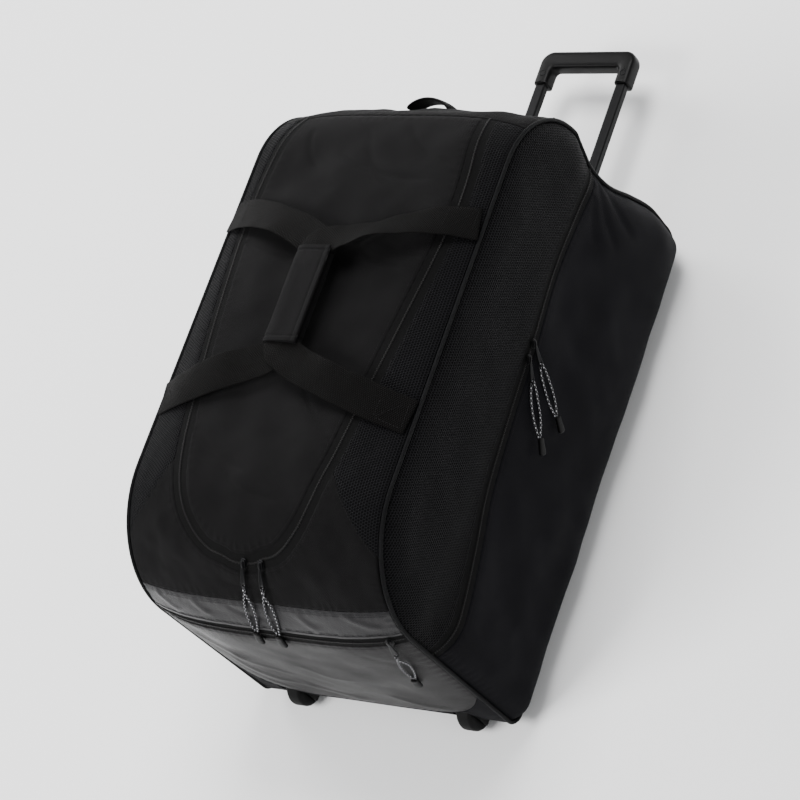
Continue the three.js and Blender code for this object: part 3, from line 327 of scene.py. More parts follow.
COARSE = spaced(OUTLINE, AROUND / 180)


def nearest_on(points, line):
    """Distance from each point to a polyline, and the running length of the nearest place; the
    points are taken in chunks to save memory."""
    a = line[:-1]
    step = line[1:] - a
    square = np.maximum((step**2).sum(axis=1), 1e-9)
    length = running_length(line)[:-1]
    flat = points.reshape(-1, 2)
    far, along = np.empty(len(flat)), np.empty(len(flat))
    chunk = 4000
    for low in range(0, len(flat), chunk):
        part = flat[low:low + chunk, None, :] - a
        share = np.clip((part * step).sum(axis=2) / square, 0, 1)
        away = np.linalg.norm(part - share[..., None] * step, axis=2)
        k = away.argmin(axis=1)
        row = np.arange(len(k))
        far[low:low + chunk] = away[row, k]
        along[low:low + chunk] = length[k] + share[row, k] * np.sqrt(square[k])
    return far.reshape(points.shape[:-1]), along.reshape(points.shape[:-1])


def side_point(side, y, z, height):
    """A place of a side: its fullness rises from the seam with the cube of the distance to it,
    and changes with the height over the base."""
    y, z, height = np.broadcast_arrays(y, z, height)
    inside, _ = nearest_on(np.stack([y, z], axis=-1), COARSE)
    reach = np.clip((inside - SEAM_INSET) / SIDE_BULGE_REACH, 0, 1)
    out = SIDE_BULGE * through_rows(SIDE_BULGE_ROWS, z / BAG_HEIGHT) * (1 - (1 - reach) ** 3)
    return np.stack([side * (BAG_WIDTH / 2 + out + height), y - FRAME_SHIFT, z + STAND_HEIGHT], axis=-1)


def on_band(line, height):
    return band_point(line[..., 0], line[..., 1], height)


def on_side(side):
    return lambda line, height: side_point(side, line[..., 0], line[..., 1], height)


# Places of the seams, as stations
TOP_SEAM = on_top(TOP_SEAM_PLACE)
FLAP_TIP = on_top(FLAP_END)
STRIP_UPPER = on_wheel_end(STRIP_TOP)
STRIP_LOWER = on_wheel_end(STRIP_BOTTOM)
END_ZIP_LOWER = on_wheel_end(STRIP_BOTTOM - END_ZIP_WIDTH)
BACK_ZIP_UPPER = on_handle_end(BACK_ZIP_HEIGHT + BACK_ZIP_WIDTH / 2)
BACK_ZIP_LOWER = on_handle_end(BACK_ZIP_HEIGHT - BACK_ZIP_WIDTH / 2)
TRAY_HANDLE_EDGE = on_handle_end(TRAY_HANDLE_TURN_UP)
BORDER_SLOPE = (on_top(MESH_END_OUTER) - on_top(MESH_END_INNER)) / (BAND_HALF - MESH_END_INNER_HALF)


def mesh_border(across):
    """The straight seam where the mesh strips end."""
    return on_top(MESH_END_INNER) + (np.abs(across) - MESH_END_INNER_HALF) * BORDER_SLOPE


def tray_edge(across):
    """The tray's upper edge on the wheel end rises towards the corners with the sixth power."""
    heights = np.linspace(TRAY_TURN_UP, TRAY_TURN_UP + TRAY_CORNER_RISE, 40)
    stations = np.array([on_wheel_end(z) for z in heights])
    wanted = TRAY_TURN_UP + TRAY_CORNER_RISE * np.abs(across / BAND_HALF) ** 6
    return np.interp(wanted, heights, stations)


def mirrored(half):
    """One half of a line and then its mirror image, run backwards."""
    return np.vstack([half, half[::-1] * (1, -1)])


def flap_path():
    """The zip's line round the flap: a smooth curve through the places of the flap's table and
    of the middles of its wide and last spans, mirrored about the bag's middle."""
    along = FLAP_ROWS[:, 0]
    wide = np.diff(along) > 0.12
    late = along[:-1] > 0.75
    middles = ((along[:-1] + along[1:]) / 2)[wide | late]
    stations = np.sort(np.concatenate([along, middles]))
    start = TOP_SEAM + HALF_GAP
    half = np.stack([start + (FLAP_TIP - start) * stations,
                     through_rows(FLAP_ROWS, stations) * FLAP_WIDTH / 2], axis=1)
    return spaced(smooth_path(mirrored(half), 1600), FLAP_PITCH, even=True)


FLAP_LINE = flap_path()


def beside(distance):
    """The flap's line moved outwards along its own normals; its ends stay on the seam."""
    step = np.gradient(FLAP_LINE, axis=0)
    step /= np.linalg.norm(step, axis=1, keepdims=True)
    moved = FLAP_LINE + distance * np.stack([-step[:, 1], step[:, 0]], axis=1)
    moved[[0, -1], 0] = FLAP_LINE[[0, -1], 0]
    return moved


def half_beside(distance):
    """The part of that line on the right half of the bag."""
    line = beside(distance)
    return line[:len(line) // 2]


def side_zip_at(y):
    return SIDE_ZIP_HEIGHT * through_rows(SIDE_ZIP_ROWS, y / BAG_LENGTH)


# Cloth

# Share of a fold's depth that lies under the flat cloth, so that pulls rest on top
FOLD_SINK = 0.8
# Reach of a fold's fade to the rim, of the rolled edge, and of the puckers beside the hem
FOLD_FADE = 28
ROLL_REACH = 1.5
PUCKER_REACH = 8
# Stitched groove of a hem: depth and half width
GROOVE_DEPTH = 0.35
GROOVE_HALF = 0.9


def soft_noise(place, seed, size):
    """Smooth folds between -1 and 1: three octaves of four sine waves in seeded directions, bent
    by slower waves, with half the depth at each finer octave."""
    chance = np.random.default_rng(seed)
    total, depth = 0, 0
    for octave in range(3):
        for _ in range(4):
            turn, phase, bend = chance.uniform(0, 2 * np.pi, 3)
            wave = 2 * np.pi / (size / 1.9**octave) * chance.uniform(0.7, 1.3)
            along = place[..., 0] * np.cos(turn) + place[..., 1] * np.sin(turn)
            across = place[..., 1] * np.cos(turn) - place[..., 0] * np.sin(turn)
            bent = 1.4 * np.sin(wave * 0.6 * across + bend)
            total = total + 0.5**octave * np.sin(wave * along + phase + bent)
            depth += 0.5**octave
    return total / depth * 2


def bell(value, half):
    """One at zero, falling with the square of the value over the half width."""
    return np.exp(-(value / half) ** 2)


def sewn_height(place, seed, folds, fold_size, pucker, roll=1.3, hem=5.0):
    """Height of a sewn panel over its flat lie, in millimetres: soft folds that die out at the
    rim, an edge that rolls down to its seam, a stitched groove, and puckers along it."""
    rim = np.vstack([place[0, :-1], place[:-1, -1], place[-1, :0:-1], place[::-1, 0]])
    far, along = nearest_on(place, rim)
    sunk = soft_noise(place, seed, fold_size) - FOLD_SINK
    height = folds * sunk * (1 - bell(far, FOLD_FADE))
    height -= roll * np.exp(-far / ROLL_REACH) + GROOVE_DEPTH * bell(far - hem, GROOVE_HALF)
    line = np.stack([along, np.zeros_like(along)], axis=-1)
    wave = np.sin(along / 2.1 + 2.5 * soft_noise(line, seed + 1, 60))
    return height + pucker * wave * bell(far - hem, PUCKER_REACH)


def creases(place, rows, base=0):
    """Sum of ridges: each has its start and end, depth and half width, bends a little and fades
    at its ends. The first coordinates count from the base."""
    height = np.zeros(place.shape[:-1])
    for ax, ay, bx, by, depth, width in rows:
        along = np.array([bx - ax, by - ay], dtype=float)
        length = np.linalg.norm(along)
        along /= length
        away = place - (base + ax, ay)
        t = (away @ along) / length
        off = away @ np.array([-along[1], along[0]])
        bent = off + 0.08 * length * np.sin(np.pi * np.clip(t, 0, 1))
        fade = np.exp(-np.clip(np.abs(t - 0.5) - 0.35, 0, None) ** 2 / 0.02)
        height += depth * bell(bent, width) * fade
    return height


# Meshes

def declare(obj, body, node, slot):
    """Says which body a piece rides on and which node it replaces; the slot is not used."""
    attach(obj, body)
    if node:
        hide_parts(node)
    return obj


def new_object(name, points, corners, sizes, material, body, node, slot, chart=None):
    """A mesh object in metres from places in millimetres, the corners of all faces in a row and
    each face's number of corners. The chart holds two coordinates for each corner."""
    mesh = bpy.data.meshes.new(name)
    mesh.vertices.add(len(points))
    mesh.vertices.foreach_set("co", (points * METRES).astype(np.float32).ravel())
    mesh.loops.add(len(corners))
    mesh.loops.foreach_set("vertex_index", corners.astype(np.int32))
    mesh.polygons.add(len(sizes))
    mesh.polygons.foreach_set("loop_start", (np.cumsum(sizes) - sizes).astype(np.int32))
    mesh.polygons.foreach_set("use_smooth", np.ones(len(sizes), dtype=bool))
    if chart is not None:
        layer = mesh.uv_layers.new(name="UVMap")
        layer.data.foreach_set("uv", (chart * METRES).astype(np.float32).ravel())
    mesh.update(calc_edges=True)
    mesh.validate()
    mesh.materials.append(material)
    obj = bpy.data.objects.new(name, mesh)
    bpy.context.scene.collection.objects.link(obj)
    return declare(obj, body, node, slot)


def faces_of(rows, columns, wrap_rows, wrap_columns):
    """Corners of a grid's squares, as vertex numbers and as numbers in the uncut pattern."""
    i, j = np.indices((rows - 1 + wrap_rows, columns - 1 + wrap_columns))
    ring = [(i, j), (i, j + 1), (i + 1, j + 1), (i + 1, j)]
    wide = columns + wrap_columns
    vertices = np.stack([(a % rows) * columns + b % columns for a, b in ring], axis=-1).reshape(-1, 4)
    pattern = np.stack([a * wide + b for a, b in ring], axis=-1).reshape(-1, 4)
    return vertices, pattern


def piece(name, points, pattern, material, wrap=(False, True), keep=None, inside=None,
          node=None, body="shell", slot=None, solid=0):
    """A piece from a grid of places in millimetres. The pattern holds the material's two
    coordinates in millimetres. A grid that wraps round its columns only gets a fan of triangles
    over each end. Each square faces away from the inside point, or outwards where the surface is
    closed: the sum of the signed cones says which."""
    rows, columns = points.shape[:2]
    quads, corners = faces_of(rows, columns, *(int(w) for w in wrap))
    if keep is not None:
        quads, corners = quads[keep.reshape(-1)], corners[keep.reshape(-1)]
    flat = points.reshape(-1, 3)
    cloth = pattern.reshape(-1, 2)
    triangles = cap_corners = np.zeros((0, 3), dtype=int)
    if wrap == (False, True):
        ring = np.arange(columns)

        def fans(onward, last, centre):
            ends = [(onward, ring, np.full(columns, centre)),
                    (last + ring, last + onward, np.full(columns, centre + 1))]
            return np.vstack([np.stack(end, axis=1) for end in ends])
        triangles = fans((ring + 1) % columns, (rows - 1) * columns, len(flat))
        cap_corners = fans(ring + 1, (len(pattern) - 1) * pattern.shape[1], len(cloth))
        flat = np.vstack([flat, points[0].mean(axis=0), points[-1].mean(axis=0)])
        cloth = np.vstack([cloth, pattern[0].mean(axis=0), pattern[-1].mean(axis=0)])
    reference = flat.mean(axis=0) if inside is None else np.array(inside)
    a, b, c, d = (flat[quads[:, k]] - reference for k in range(4))
    signed = (np.cross(b - a, c - a) * a).sum() + (np.cross(c - a, d - a) * a).sum()
    turn = -1 if signed < 0 else 1
    used = np.concatenate([quads[:, ::turn].ravel(), triangles[:, ::turn].ravel()])
    chart = cloth[np.concatenate([corners[:, ::turn].ravel(), cap_corners[:, ::turn].ravel()])]
    sizes = np.repeat([4, 3], [len(quads), len(triangles)])
    obj = new_object(name, flat, used, sizes, material, body, node, slot, chart)
    if solid:
        wall = obj.modifiers.new("wall", "SOLIDIFY")
        wall.thickness = solid * METRES
        wall.offset = -1
    return obj


def join_grids(name, grids, material, node, slot):
    """Several closed grids as one piece: their vertices and squares are put end to end."""
    made = [piece(f"{name}_{k}", points, pattern, material, wrap=wrap)
            for k, (points, pattern, wrap) in enumerate(grids)]
    with bpy.context.temp_override(active_object=made[0], selected_editable_objects=made, object=made[0]):
        bpy.ops.object.join()
    made[0].name = name
    return declare(made[0], "shell", node, slot)


def unit(vectors):
    return vectors / np.maximum(np.linalg.norm(vectors, axis=-1, keepdims=True), 1e-9)


def ring_section(count, power):
    """Points of a rounded rectangle within -1 and 1: a circle whose cosine and sine are raised
    to a power below one."""
    return np.stack([np.sign(v) * np.abs(v) ** power for v in circle(count)], axis=1)


def turning_frames(path, closed):
    """Directions across a path that turn with it and don't twist: each one is the last one
    without its part along the path."""
    if closed:
        along = unit(np.roll(path, -1, axis=0) - np.roll(path, 1, axis=0))
    else:
        along = unit(np.gradient(path, axis=0))
    across = np.empty_like(path)
    across[0] = unit(np.cross(along[0], (0.3, 0.2, 0.93)))
    for k in range(1, len(path)):
        across[k] = unit(across[k - 1] - along[k] * (across[k - 1] @ along[k]))
    return across, np.cross(along, across)


def tube(path, radius, sides, closed=False):
    """A circle carried along a path; its pattern runs along the path and round it."""
    across, up = turning_frames(path, closed)
    c, s = (v[None, :, None] for v in circle(sides))
    points = path[:, None] + radius * (across[:, None] * c + up[:, None] * s)
    length = running_length(np.vstack([path, path[:1]]) if closed else path)
    return points, grid(length, np.linspace(0, 2 * np.pi * radius, sides + 1))


def beads(name, places, along, up, size, material, sides=6):
    """The same small rounded block at many places: two rings between two poles, scaled by half
    the size, are turned into each place's own directions."""
    across = unit(np.cross(up, along))
    rise = np.cross(along, across)
    rows = np.radians([-42, 42])[:, None]
    ring = ring_section(sides, 0.6)
    rings = np.stack([np.broadcast_to(np.sin(rows), (2, sides)), np.cos(rows) ** 0.7 * ring[None, :, 0],
                      np.cos(rows) ** 0.7 * ring[None, :, 1]], axis=-1).reshape(-1, 3)
    block = np.vstack([[[-1, 0, 0]], rings, [[1, 0, 0]]]) * np.array(size) / 2
    pairs = [(1 + a, 1 + (a + 1) % sides) for a in range(sides)]
    faces = [(0, b, a) for a, b in pairs]
    faces += [(a, b, sides + b, sides + a) for a, b in pairs]
    faces += [(sides + a, sides + b, 1 + 2 * sides) for a, b in pairs]
    turned = (places[:, None] + block[None, :, :1] * along[:, None]
              + block[None, :, 1:2] * across[:, None] + block[None, :, 2:] * rise[:, None])
    corners = np.concatenate([np.array(face) for face in faces])
    corners = (corners[None, :] + np.arange(len(places))[:, None] * len(block)).ravel()
    sizes = np.tile([len(face) for face in faces], len(places))
    return new_object(name, turned.reshape(-1, 3), corners, sizes, material, "shell", None, None)


def line_frames(at, line, height):
    """Places along a line drawn on the cloth, with the directions along it and off the cloth;
    at(place, height) puts a place of the line on the bag."""
    places = at(line, height)
    return places, unit(np.gradient(places, axis=0)), unit(at(line, height + 1) - places)


# Shader helpers

class Nodes:
    """Makes and joins the nodes of one tree."""

    def __init__(self, tree):
        self.tree = tree

    def feed(self, socket, item):
        if isinstance(item, bpy.types.NodeSocket):
            self.tree.links.new(item, socket)
        else:
            socket.default_value = item

    def add(self, kind, inputs, **settings):
        made = self.tree.nodes.new(kind)
        for key, value in settings.items():
            setattr(made, key, value)
        for key, item in inputs.items():
            self.feed(made.inputs[key], item)
        return made

    def math(self, operation, *values):
        return self.add("ShaderNodeMath", dict(enumerate(values)), operation=operation).outputs[0]

    def times(self, *values):
        return self.math("MULTIPLY", *values)

    def plus(self, *values):
        return self.math("ADD", *values)

    def wave(self, value):
        """Half sines in a row: the size of the sine of pi times the value."""
        return self.math("ABSOLUTE", self.math("SINE", self.times(value, np.pi)))

    def vector(self, operation, *values):
        return self.add("ShaderNodeVectorMath", dict(enumerate(values)), operation=operation).outputs[0]

    def scaled(self, vector, factor):
        return self.add("ShaderNodeVectorMath", {0: vector, "Scale": factor}, operation="SCALE").outputs[0]

    def parts(self, vector):
        return self.add("ShaderNodeSeparateXYZ", {0: vector}).outputs

    def between(self, value, low, high, to_low=0.0, to_high=1.0):
        inputs = dict(enumerate((value, low, high, to_low, to_high)))
        return self.add("ShaderNodeMapRange", inputs, interpolation_type="SMOOTHSTEP").outputs[0]

    def blend(self, factor, low, high):
        return self.add("ShaderNodeMix", {0: factor, 6: low, 7: high}, data_type="RGBA").outputs[2]

    def noise(self, place, scale, detail):
        return self.add("ShaderNodeTexNoise", {"Vector": place, "Scale": scale, "Detail": detail}).outputs[0]

    def placed(self, tree, vector, value):
        """A node group fed with its vector and its value."""
        made = self.add("ShaderNodeGroup", {}, node_tree=tree)
        self.feed(made.inputs[0], vector)
        self.feed(made.inputs[1], value)
        return made.outputs


def group(name, vector, value, default, build):
    """A shader node group, built once: a vector and a value go in, named values come out."""
    found = bpy.data.node_groups.get(name)
    if found:
        return found
    tree = bpy.data.node_groups.new(name, "ShaderNodeTree")
    tree.interface.new_socket(name=vector, in_out="INPUT", socket_type="NodeSocketVector")
    amount = tree.interface.new_socket(name=value, in_out="INPUT", socket_type="NodeSocketFloat")
    amount.default_value = default
    entry = tree.nodes.new("NodeGroupInput").outputs
    leave = tree.nodes.new("NodeGroupOutput")
    for label, socket in build(Nodes(tree), entry[0], entry[1]).items():
        tree.interface.new_socket(name=label, in_out="OUTPUT", socket_type="NodeSocketFloat")
        tree.links.new(socket, leave.inputs[label])
    return tree


def weave_group():
    """Plain weave: each thread is a half sine, and threads that cross take turns on top. The threads'
    crowns are painted lighter and the gaps between them darker, as painted shade, broken up by a noise."""
    def build(n, cloth, pitch):
        u, v, _ = n.parts(n.scaled(cloth, n.math("DIVIDE", 1.0, pitch)))
        turn = n.math("MODULO", n.plus(n.math("FLOOR", u), n.math("FLOOR", v)), 2.0)
        turn = n.math("ABSOLUTE", turn)
        height = n.plus(n.times(n.wave(u), turn), n.times(n.wave(v), n.math("SUBTRACT", 1.0, turn)))
        speck = n.between(n.noise(cloth, 900.0, 2.0), 0.3, 0.7, -0.2, 0.2)
        # Shade darkens the gaps between threads and lightens their crowns: painted shade of the relief, plus
        # random specks of tone.
        return {"Height": height, "Shade": n.plus(n.between(height, 0.0, 1.0, 0.72, 1.1), speck)}
    return group("Plain weave", "Cloth", "Pitch", 0.0012, build)


def open_mesh_group():
    """Open air mesh: round holes at the points of a six-sided lattice, with a raised net
    between them."""
    def build(n, cloth, pitch):
        cell = n.vector("MULTIPLY", n.scaled(cloth, n.math("DIVIDE", 1.0, pitch)), (1.0, 0.577, 0.0))
        far = []
        for shift in (0.0, 0.5):
            moved = n.vector("ADD", cell, (shift, shift, 0.0))
            inner = n.vector("SUBTRACT", n.vector("FRACTION", moved), (0.5, 0.5, 0.0))
            hole = n.vector("MULTIPLY", inner, (1.0, 1.733, 0.0))
            length = n.add("ShaderNodeVectorMath", {0: hole}, operation="LENGTH")
            far.append(length.outputs["Value"])
        nearest = n.math("MINIMUM", *far)
        return {"Net": n.between(nearest, 0.26, 0.40), "Height": n.between(nearest, 0.2, 0.55)}
    return group("Open mesh", "Cloth", "Pitch", 0.005, build)


def ribs_group():
    """Woven ribs: a rounded rib at each pitch along the piece, crossed by fine threads; grooves are painted
    darker and crowns lighter, as painted shade.
    """
    def build(n, cloth, pitch):
        u, v, _ = n.parts(cloth)
        across = n.math("DIVIDE", v, n.times(pitch, 0.8))
        stagger = n.times(n.math("FLOOR", across), 0.5)
        rib = n.wave(n.plus(n.math("DIVIDE", u, pitch), stagger))
        height = n.times(rib, n.between(n.wave(across), 0.0, 0.6, 0.5, 1.0))
        # Shade follows the rib height: painted shade in the grooves and painted light on the crowns.
        return {"Height": height, "Shade": n.between(height, 0.0, 1.0, 0.4, 1.3)}
    return group("Woven ribs", "Cloth", "Pitch", 0.002, build)


def use_group():
    """Signs of use: slow patches of lighter cloth and fine specks of dust."""
    def build(n, place, amount):
        patch = n.between(n.noise(place, 9.0, 4.0), 0.3, 0.75)
        dust = n.between(n.noise(place, 420.0, 2.0), 0.66, 0.8)
        shade = n.plus(1.0, n.times(amount, n.math("SUBTRACT", patch, 0.5)))
        return {"Shade": n.plus(shade, n.times(dust, amount)), "Patch": patch}
    return group("Signs of use", "Place", "Amount", 0.2, build)


def grain_group():
    """Moulded grain: fine cells with slow swells under them."""
    def build(n, place, scale):
        cells = n.noise(place, scale, 2.0)
        height = n.plus(cells, n.times(n.noise(place, 40.0, 1.0), 0.5))
        return {"Height": height, "Shade": n.between(cells, 0.3, 0.7, 0.88, 1.12)}
    return group("Moulded grain", "Place", "Scale", 1500.0, build)


def finish(name, specular, build, sheen=0.0, metallic=0.0):
    """A material, made once. From the pattern and the place on the object, build works out its
    colour, its roughness, and the height and depth of its relief."""
    found = bpy.data.materials.get(name)
    if found:
        return found
    material = bpy.data.materials.new(name)
    material.use_nodes = True
    n = Nodes(material.node_tree)
    given = n.add("ShaderNodeTexCoord", {}).outputs
    colour, roughness, height, depth = build(n, given["UV"], given["Object"])
    relief = n.add("ShaderNodeBump", {"Strength": 1.0, "Distance": depth, "Height": height}).outputs[0]
    settings = {"Base Color": colour, "Roughness": roughness, "Normal": relief, "Metallic": metallic,
                "Specular IOR Level": specular, "Sheen Weight": sheen, "Sheen Roughness": 0.5}
    for label, value in settings.items():
        n.feed(material.node_tree.nodes["Principled BSDF"].inputs[label], value)
    return material


def woven_cloth(name, colour, pitch, roughness=0.8, sheen=0.0, depth=0.0003, use=0.35, specular=0.07):
    """Woven polyester: the weave in relief and in painted shade of its threads, and slow patches from use."""
    def build(n, cloth, place):
        weave = n.placed(weave_group(), cloth, pitch)
        worn = n.placed(use_group(), place, use)
        # The weave's shade is painted shade of the threads; the worn shade is real wear and dust.
        shade = n.scaled(tuple(colour), n.times(weave["Shade"], worn["Shade"]))
        gloss = n.between(worn["Patch"], 0.0, 1.0, roughness + 0.04, roughness - 0.06)
        return shade, gloss, weave["Height"], depth
    return finish(name, specular, build, sheen)


def air_mesh(name, colour, hole, pitch):
    """Open mesh: a raised matt net over holes painted nearly black: the dark lining seen through them,
    darkened further as painted shade.
    """
    def build(n, cloth, place):
        net = n.placed(open_mesh_group(), cloth, pitch)
        worn = n.placed(use_group(), place, 0.25)
        # Where the net is missing the colour is the hole colour, painted shade standing for the shadowed
        # lining under the mesh.
        shade = n.blend(net["Net"], (*hole, 1.0), n.scaled(tuple(colour), worn["Shade"]))
        return shade, n.between(net["Net"], 0.0, 1.0, 0.95, 0.62), net["Height"], 0.0011
    return finish(name, 0.07, build, sheen=0.01)


def ribbed_webbing(name, colour, pitch):
    """Webbing: raised cross ribs whose crowns are painted lighter and grooves darker as painted shade, with
    slow patches of wear.
    """
    def build(n, cloth, place):
        ribs = n.placed(ribs_group(), cloth, pitch)
        worn = n.placed(use_group(), place, 0.3)
        # The ribs' shade is painted shade of their relief; the worn shade is real wear and dust.
        shade = n.scaled(tuple(colour), n.times(ribs["Shade"], worn["Shade"]))
        return shade, n.between(ribs["Height"], 0.0, 1.0, 0.85, 0.6), ribs["Height"], 0.0009
    return finish(name, 0.055, build, sheen=0.01)


def moulded(name, colour, roughness, grain=1500.0, depth=0.00006, metallic=0.0):
    """Moulded or coated hard part: fine grain, and slow changes of gloss from handling."""
    def build(n, _, place):
        cells = n.placed(grain_group(), place, grain)
        worn = n.placed(use_group(), place, 0.2)
        shade = n.scaled(tuple(colour), n.times(cells["Shade"], worn["Shade"]))
        gloss = n.between(worn["Patch"], 0.0, 1.0, roughness + 0.06, roughness - 0.06)
        return shade, gloss, cells["Height"], depth
    return finish(name, 0.1, build, metallic=metallic)


def flecked_cord(name, colour, fleck, pitch):
    """Braided cord: slanting strands, of which some are light, in a pattern that runs along the
    cord and round it."""
    def build(n, cloth, _):
        u, v, _ = n.parts(cloth)
        along, around = n.math("DIVIDE", u, pitch), n.math("DIVIDE", v, 0.0044)
        strand, other = n.wave(n.plus(along, around)), n.wave(n.math("SUBTRACT", along, around))
        light = n.between(n.times(strand, other), 0.62, 0.74)
        shade = n.blend(light, (*colour, 1.0), (*fleck, 1.0))
        return shade, 0.75, n.math("MAXIMUM", strand, other), 0.0003
    return finish(name, 0.2, build, sheen=0.02)


# Properties

def length_property(label, hint, default):
    return FloatProperty(name=label, description=hint, default=default, min=0.0, unit="LENGTH",
                         precision=5)


def colour_property(label, hint, default):
    return FloatVectorProperty(name=label, description=hint, default=default, size=3, min=0.0,
                               max=1.0, subtype="COLOR")


class KitBagSizes(bpy.types.PropertyGroup):
    """Sizes of the bag's cloth detail"""

    panel_folds: length_property("Panel folds", "Depth of the soft folds in the lid and sides", 0.0036)
    pocket_folds: length_property("Pocket folds", "Depth of the folds in the grey end pocket", 0.0024)
    puckers: length_property("Puckers", "Depth of the puckers along the seams", 0.0004)
    weave_pitch: length_property("Weave pitch", "Distance between threads of the panel cloth", 0.0013)
    mesh_pitch: length_property("Mesh pitch", "Distance between holes of the open mesh", 0.0040)
    rib_pitch: length_property("Rib pitch", "Distance between ribs of the webbing", 0.0030)
    tooth_pitch: length_property("Tooth pitch", "Distance between the teeth of the zips", 0.0026)
    stitch_pitch: length_property("Stitch pitch", "Distance between the stitches of the hems", 0.0042)
    cord_diameter: length_property("Cord diameter", "Thickness of the pullers' cords", 0.0028)
    cord_fleck: length_property("Cord fleck", "Distance between the light flecks of the cords", 0.0068)


class KitBagColours(bpy.types.PropertyGroup):
    """Colours of the bag's finishes"""

    panel: colour_property("Panel cloth", "Charcoal cloth of the lid and ends", (0.0028, 0.0026, 0.0028))
    smooth: colour_property("Smooth cloth", "Blue-black cloth of the side pockets and tray",
                            (0.0019, 0.0018, 0.0029))
    mesh: colour_property("Mesh", "Net of the open mesh", (0.0026, 0.0025, 0.0032))
    # The hole colour is painted shade: the dark lining under the mesh, darkened to stand for the shadow in
    # the holes.
    mesh_hole_shade: colour_property("Mesh holes", "What shows through the open mesh", (0.0002, 0.0002, 0.0003))
    pocket: colour_property("End pocket", "Grey coated cloth of the end pocket", (0.0038, 0.0032, 0.0035))
    strip: colour_property("Light strip", "Light cloth across the wheel end", (0.0052, 0.0047, 0.0056))
    tape: colour_property("Zip tape", "Tape of the zips", (0.0028, 0.0027, 0.0028))
    teeth: colour_property("Zip teeth", "Teeth of the zips", (0.014, 0.0135, 0.0135))
    piping: colour_property("Piping", "Piped seams", (0.0026, 0.0026, 0.0030))
    webbing: colour_property("Webbing", "Carrying straps", (0.0015, 0.0013, 0.0012))
    thread: colour_property("Thread", "Stitching on black cloth", (0.012, 0.0115, 0.012))
    light_thread: colour_property("Light thread", "Stitching on grey cloth", (0.009, 0.0088, 0.0095))
    plastic: colour_property("Moulded plastic", "Grip, throat, feet and housings", (0.0022, 0.0021, 0.0022))
    tube: colour_property("Handle tube", "Coated tubes of the pull handle", (0.006, 0.006, 0.0063))
    tyre: colour_property("Tyre", "Wheels", (0.003, 0.003, 0.003))
    metal: colour_property("Slider metal", "Zip sliders and their tabs", (0.008, 0.008, 0.0085))
    cord: colour_property("Cord", "Dark strands of the pullers' cords", (0.0065, 0.0065, 0.007))
    fleck: colour_property("Cord flecks", "Light strands of the pullers' cords", (0.44, 0.44, 0.46))
    floor: colour_property("Floor", "Floor and background", (0.88, 0.88, 0.88))


def millimetres(context, *keys):
    """Sizes of the panel in millimetres."""
    return [getattr(context.scene.kit_bag_sizes, key) / METRES for key in keys]


def finishes(context):
    """All of the bag's materials by name, from the panel's sizes and colours."""
    size, colour = context.scene.kit_bag_sizes, context.scene.kit_bag_colours
    pitch = size.weave_pitch
    return {
        "panel": woven_cloth("Panel polyester", colour.panel, pitch, sheen=0.02, specular=0.06),
        "smooth": woven_cloth("Smooth polyester", colour.smooth, pitch * 0.6, roughness=0.72,
                              depth=0.0001, use=0.2),
        "mesh": air_mesh("Open air mesh", colour.mesh, colour.mesh_hole_shade, size.mesh_pitch),
        "pocket": woven_cloth("Grey coated nylon", colour.pocket, pitch * 0.6, roughness=0.42,
                              depth=0.00008, specular=0.1),
        "strip": woven_cloth("Light strip cloth", colour.strip, pitch * 0.7, roughness=0.38,
                             depth=0.00008, use=0.3, specular=0.2),
        "tape": ribbed_webbing("Zip tape", colour.tape, size.rib_pitch * 0.5),
        "teeth": moulded("Zip teeth", colour.teeth, 0.35),
        "piping": woven_cloth("Piping cloth", colour.piping, pitch, roughness=0.5),
        "webbing": ribbed_webbing("Ribbed webbing", colour.webbing, size.rib_pitch),
        "thread": moulded("Thread", colour.thread, 0.8, grain=2500.0),
        "light_thread": moulded("Light thread", colour.light_thread, 0.8, grain=2500.0),
        "plastic": moulded("Satin plastic", colour.plastic, 0.42),
        "tube": moulded("Coated tube", colour.tube, 0.34, grain=2600.0, depth=0.00002, metallic=0.6),
        "tyre": moulded("Tyre rubber", colour.tyre, 0.6),
        "metal": moulded("Coated slider metal", colour.metal, 0.36, depth=0.00002, metallic=0.8),
        "cord": flecked_cord("Flecked cord", colour.cord, colour.fleck, size.cord_fleck),
    }


# Zip pullers in millimetres: t runs along the pull, w across it and h off the cloth
SLIDER_LENGTH = 14
SLIDER_WIDTH = 10
TAB_LENGTH = 34
TAB_WIDTH = 8
TAB_THICKNESS = 1.6
TAB_LIFT = 3.8
EYE_RADIUS = 2.4
EYE_PLACE = TAB_LENGTH - EYE_RADIUS - 1.7
RIM_TURN = 2.4
LOOP_LENGTH = 78
LOOP_WIDTH = 17
CORD_RADIUS = 1.4
CORD_REST = 0.6 + CORD_RADIUS
OVER_TAB = TAB_LIFT + TAB_THICKNESS + CLEARANCE + CORD_RADIUS
CORD_END_PLACE = EYE_PLACE + LOOP_LENGTH
CORD_END_LENGTH = 24
CORD_END_WIDTH = 12
CORD_END_HEIGHT = 6
HOLLOW_ROOM = 0.6

# Slider: base plate, top plate, bridge and post, in shares of its length and width: long, wide,
# and the lower and upper level
SLIDER_PARTS = ((1, 1, 0.5, 2.2), (0.8, 0.8, 2.9, 4.4), (0.62, 0.3, 4.2, 5.9), (0.26, 0.5, 1.6, 4.0))

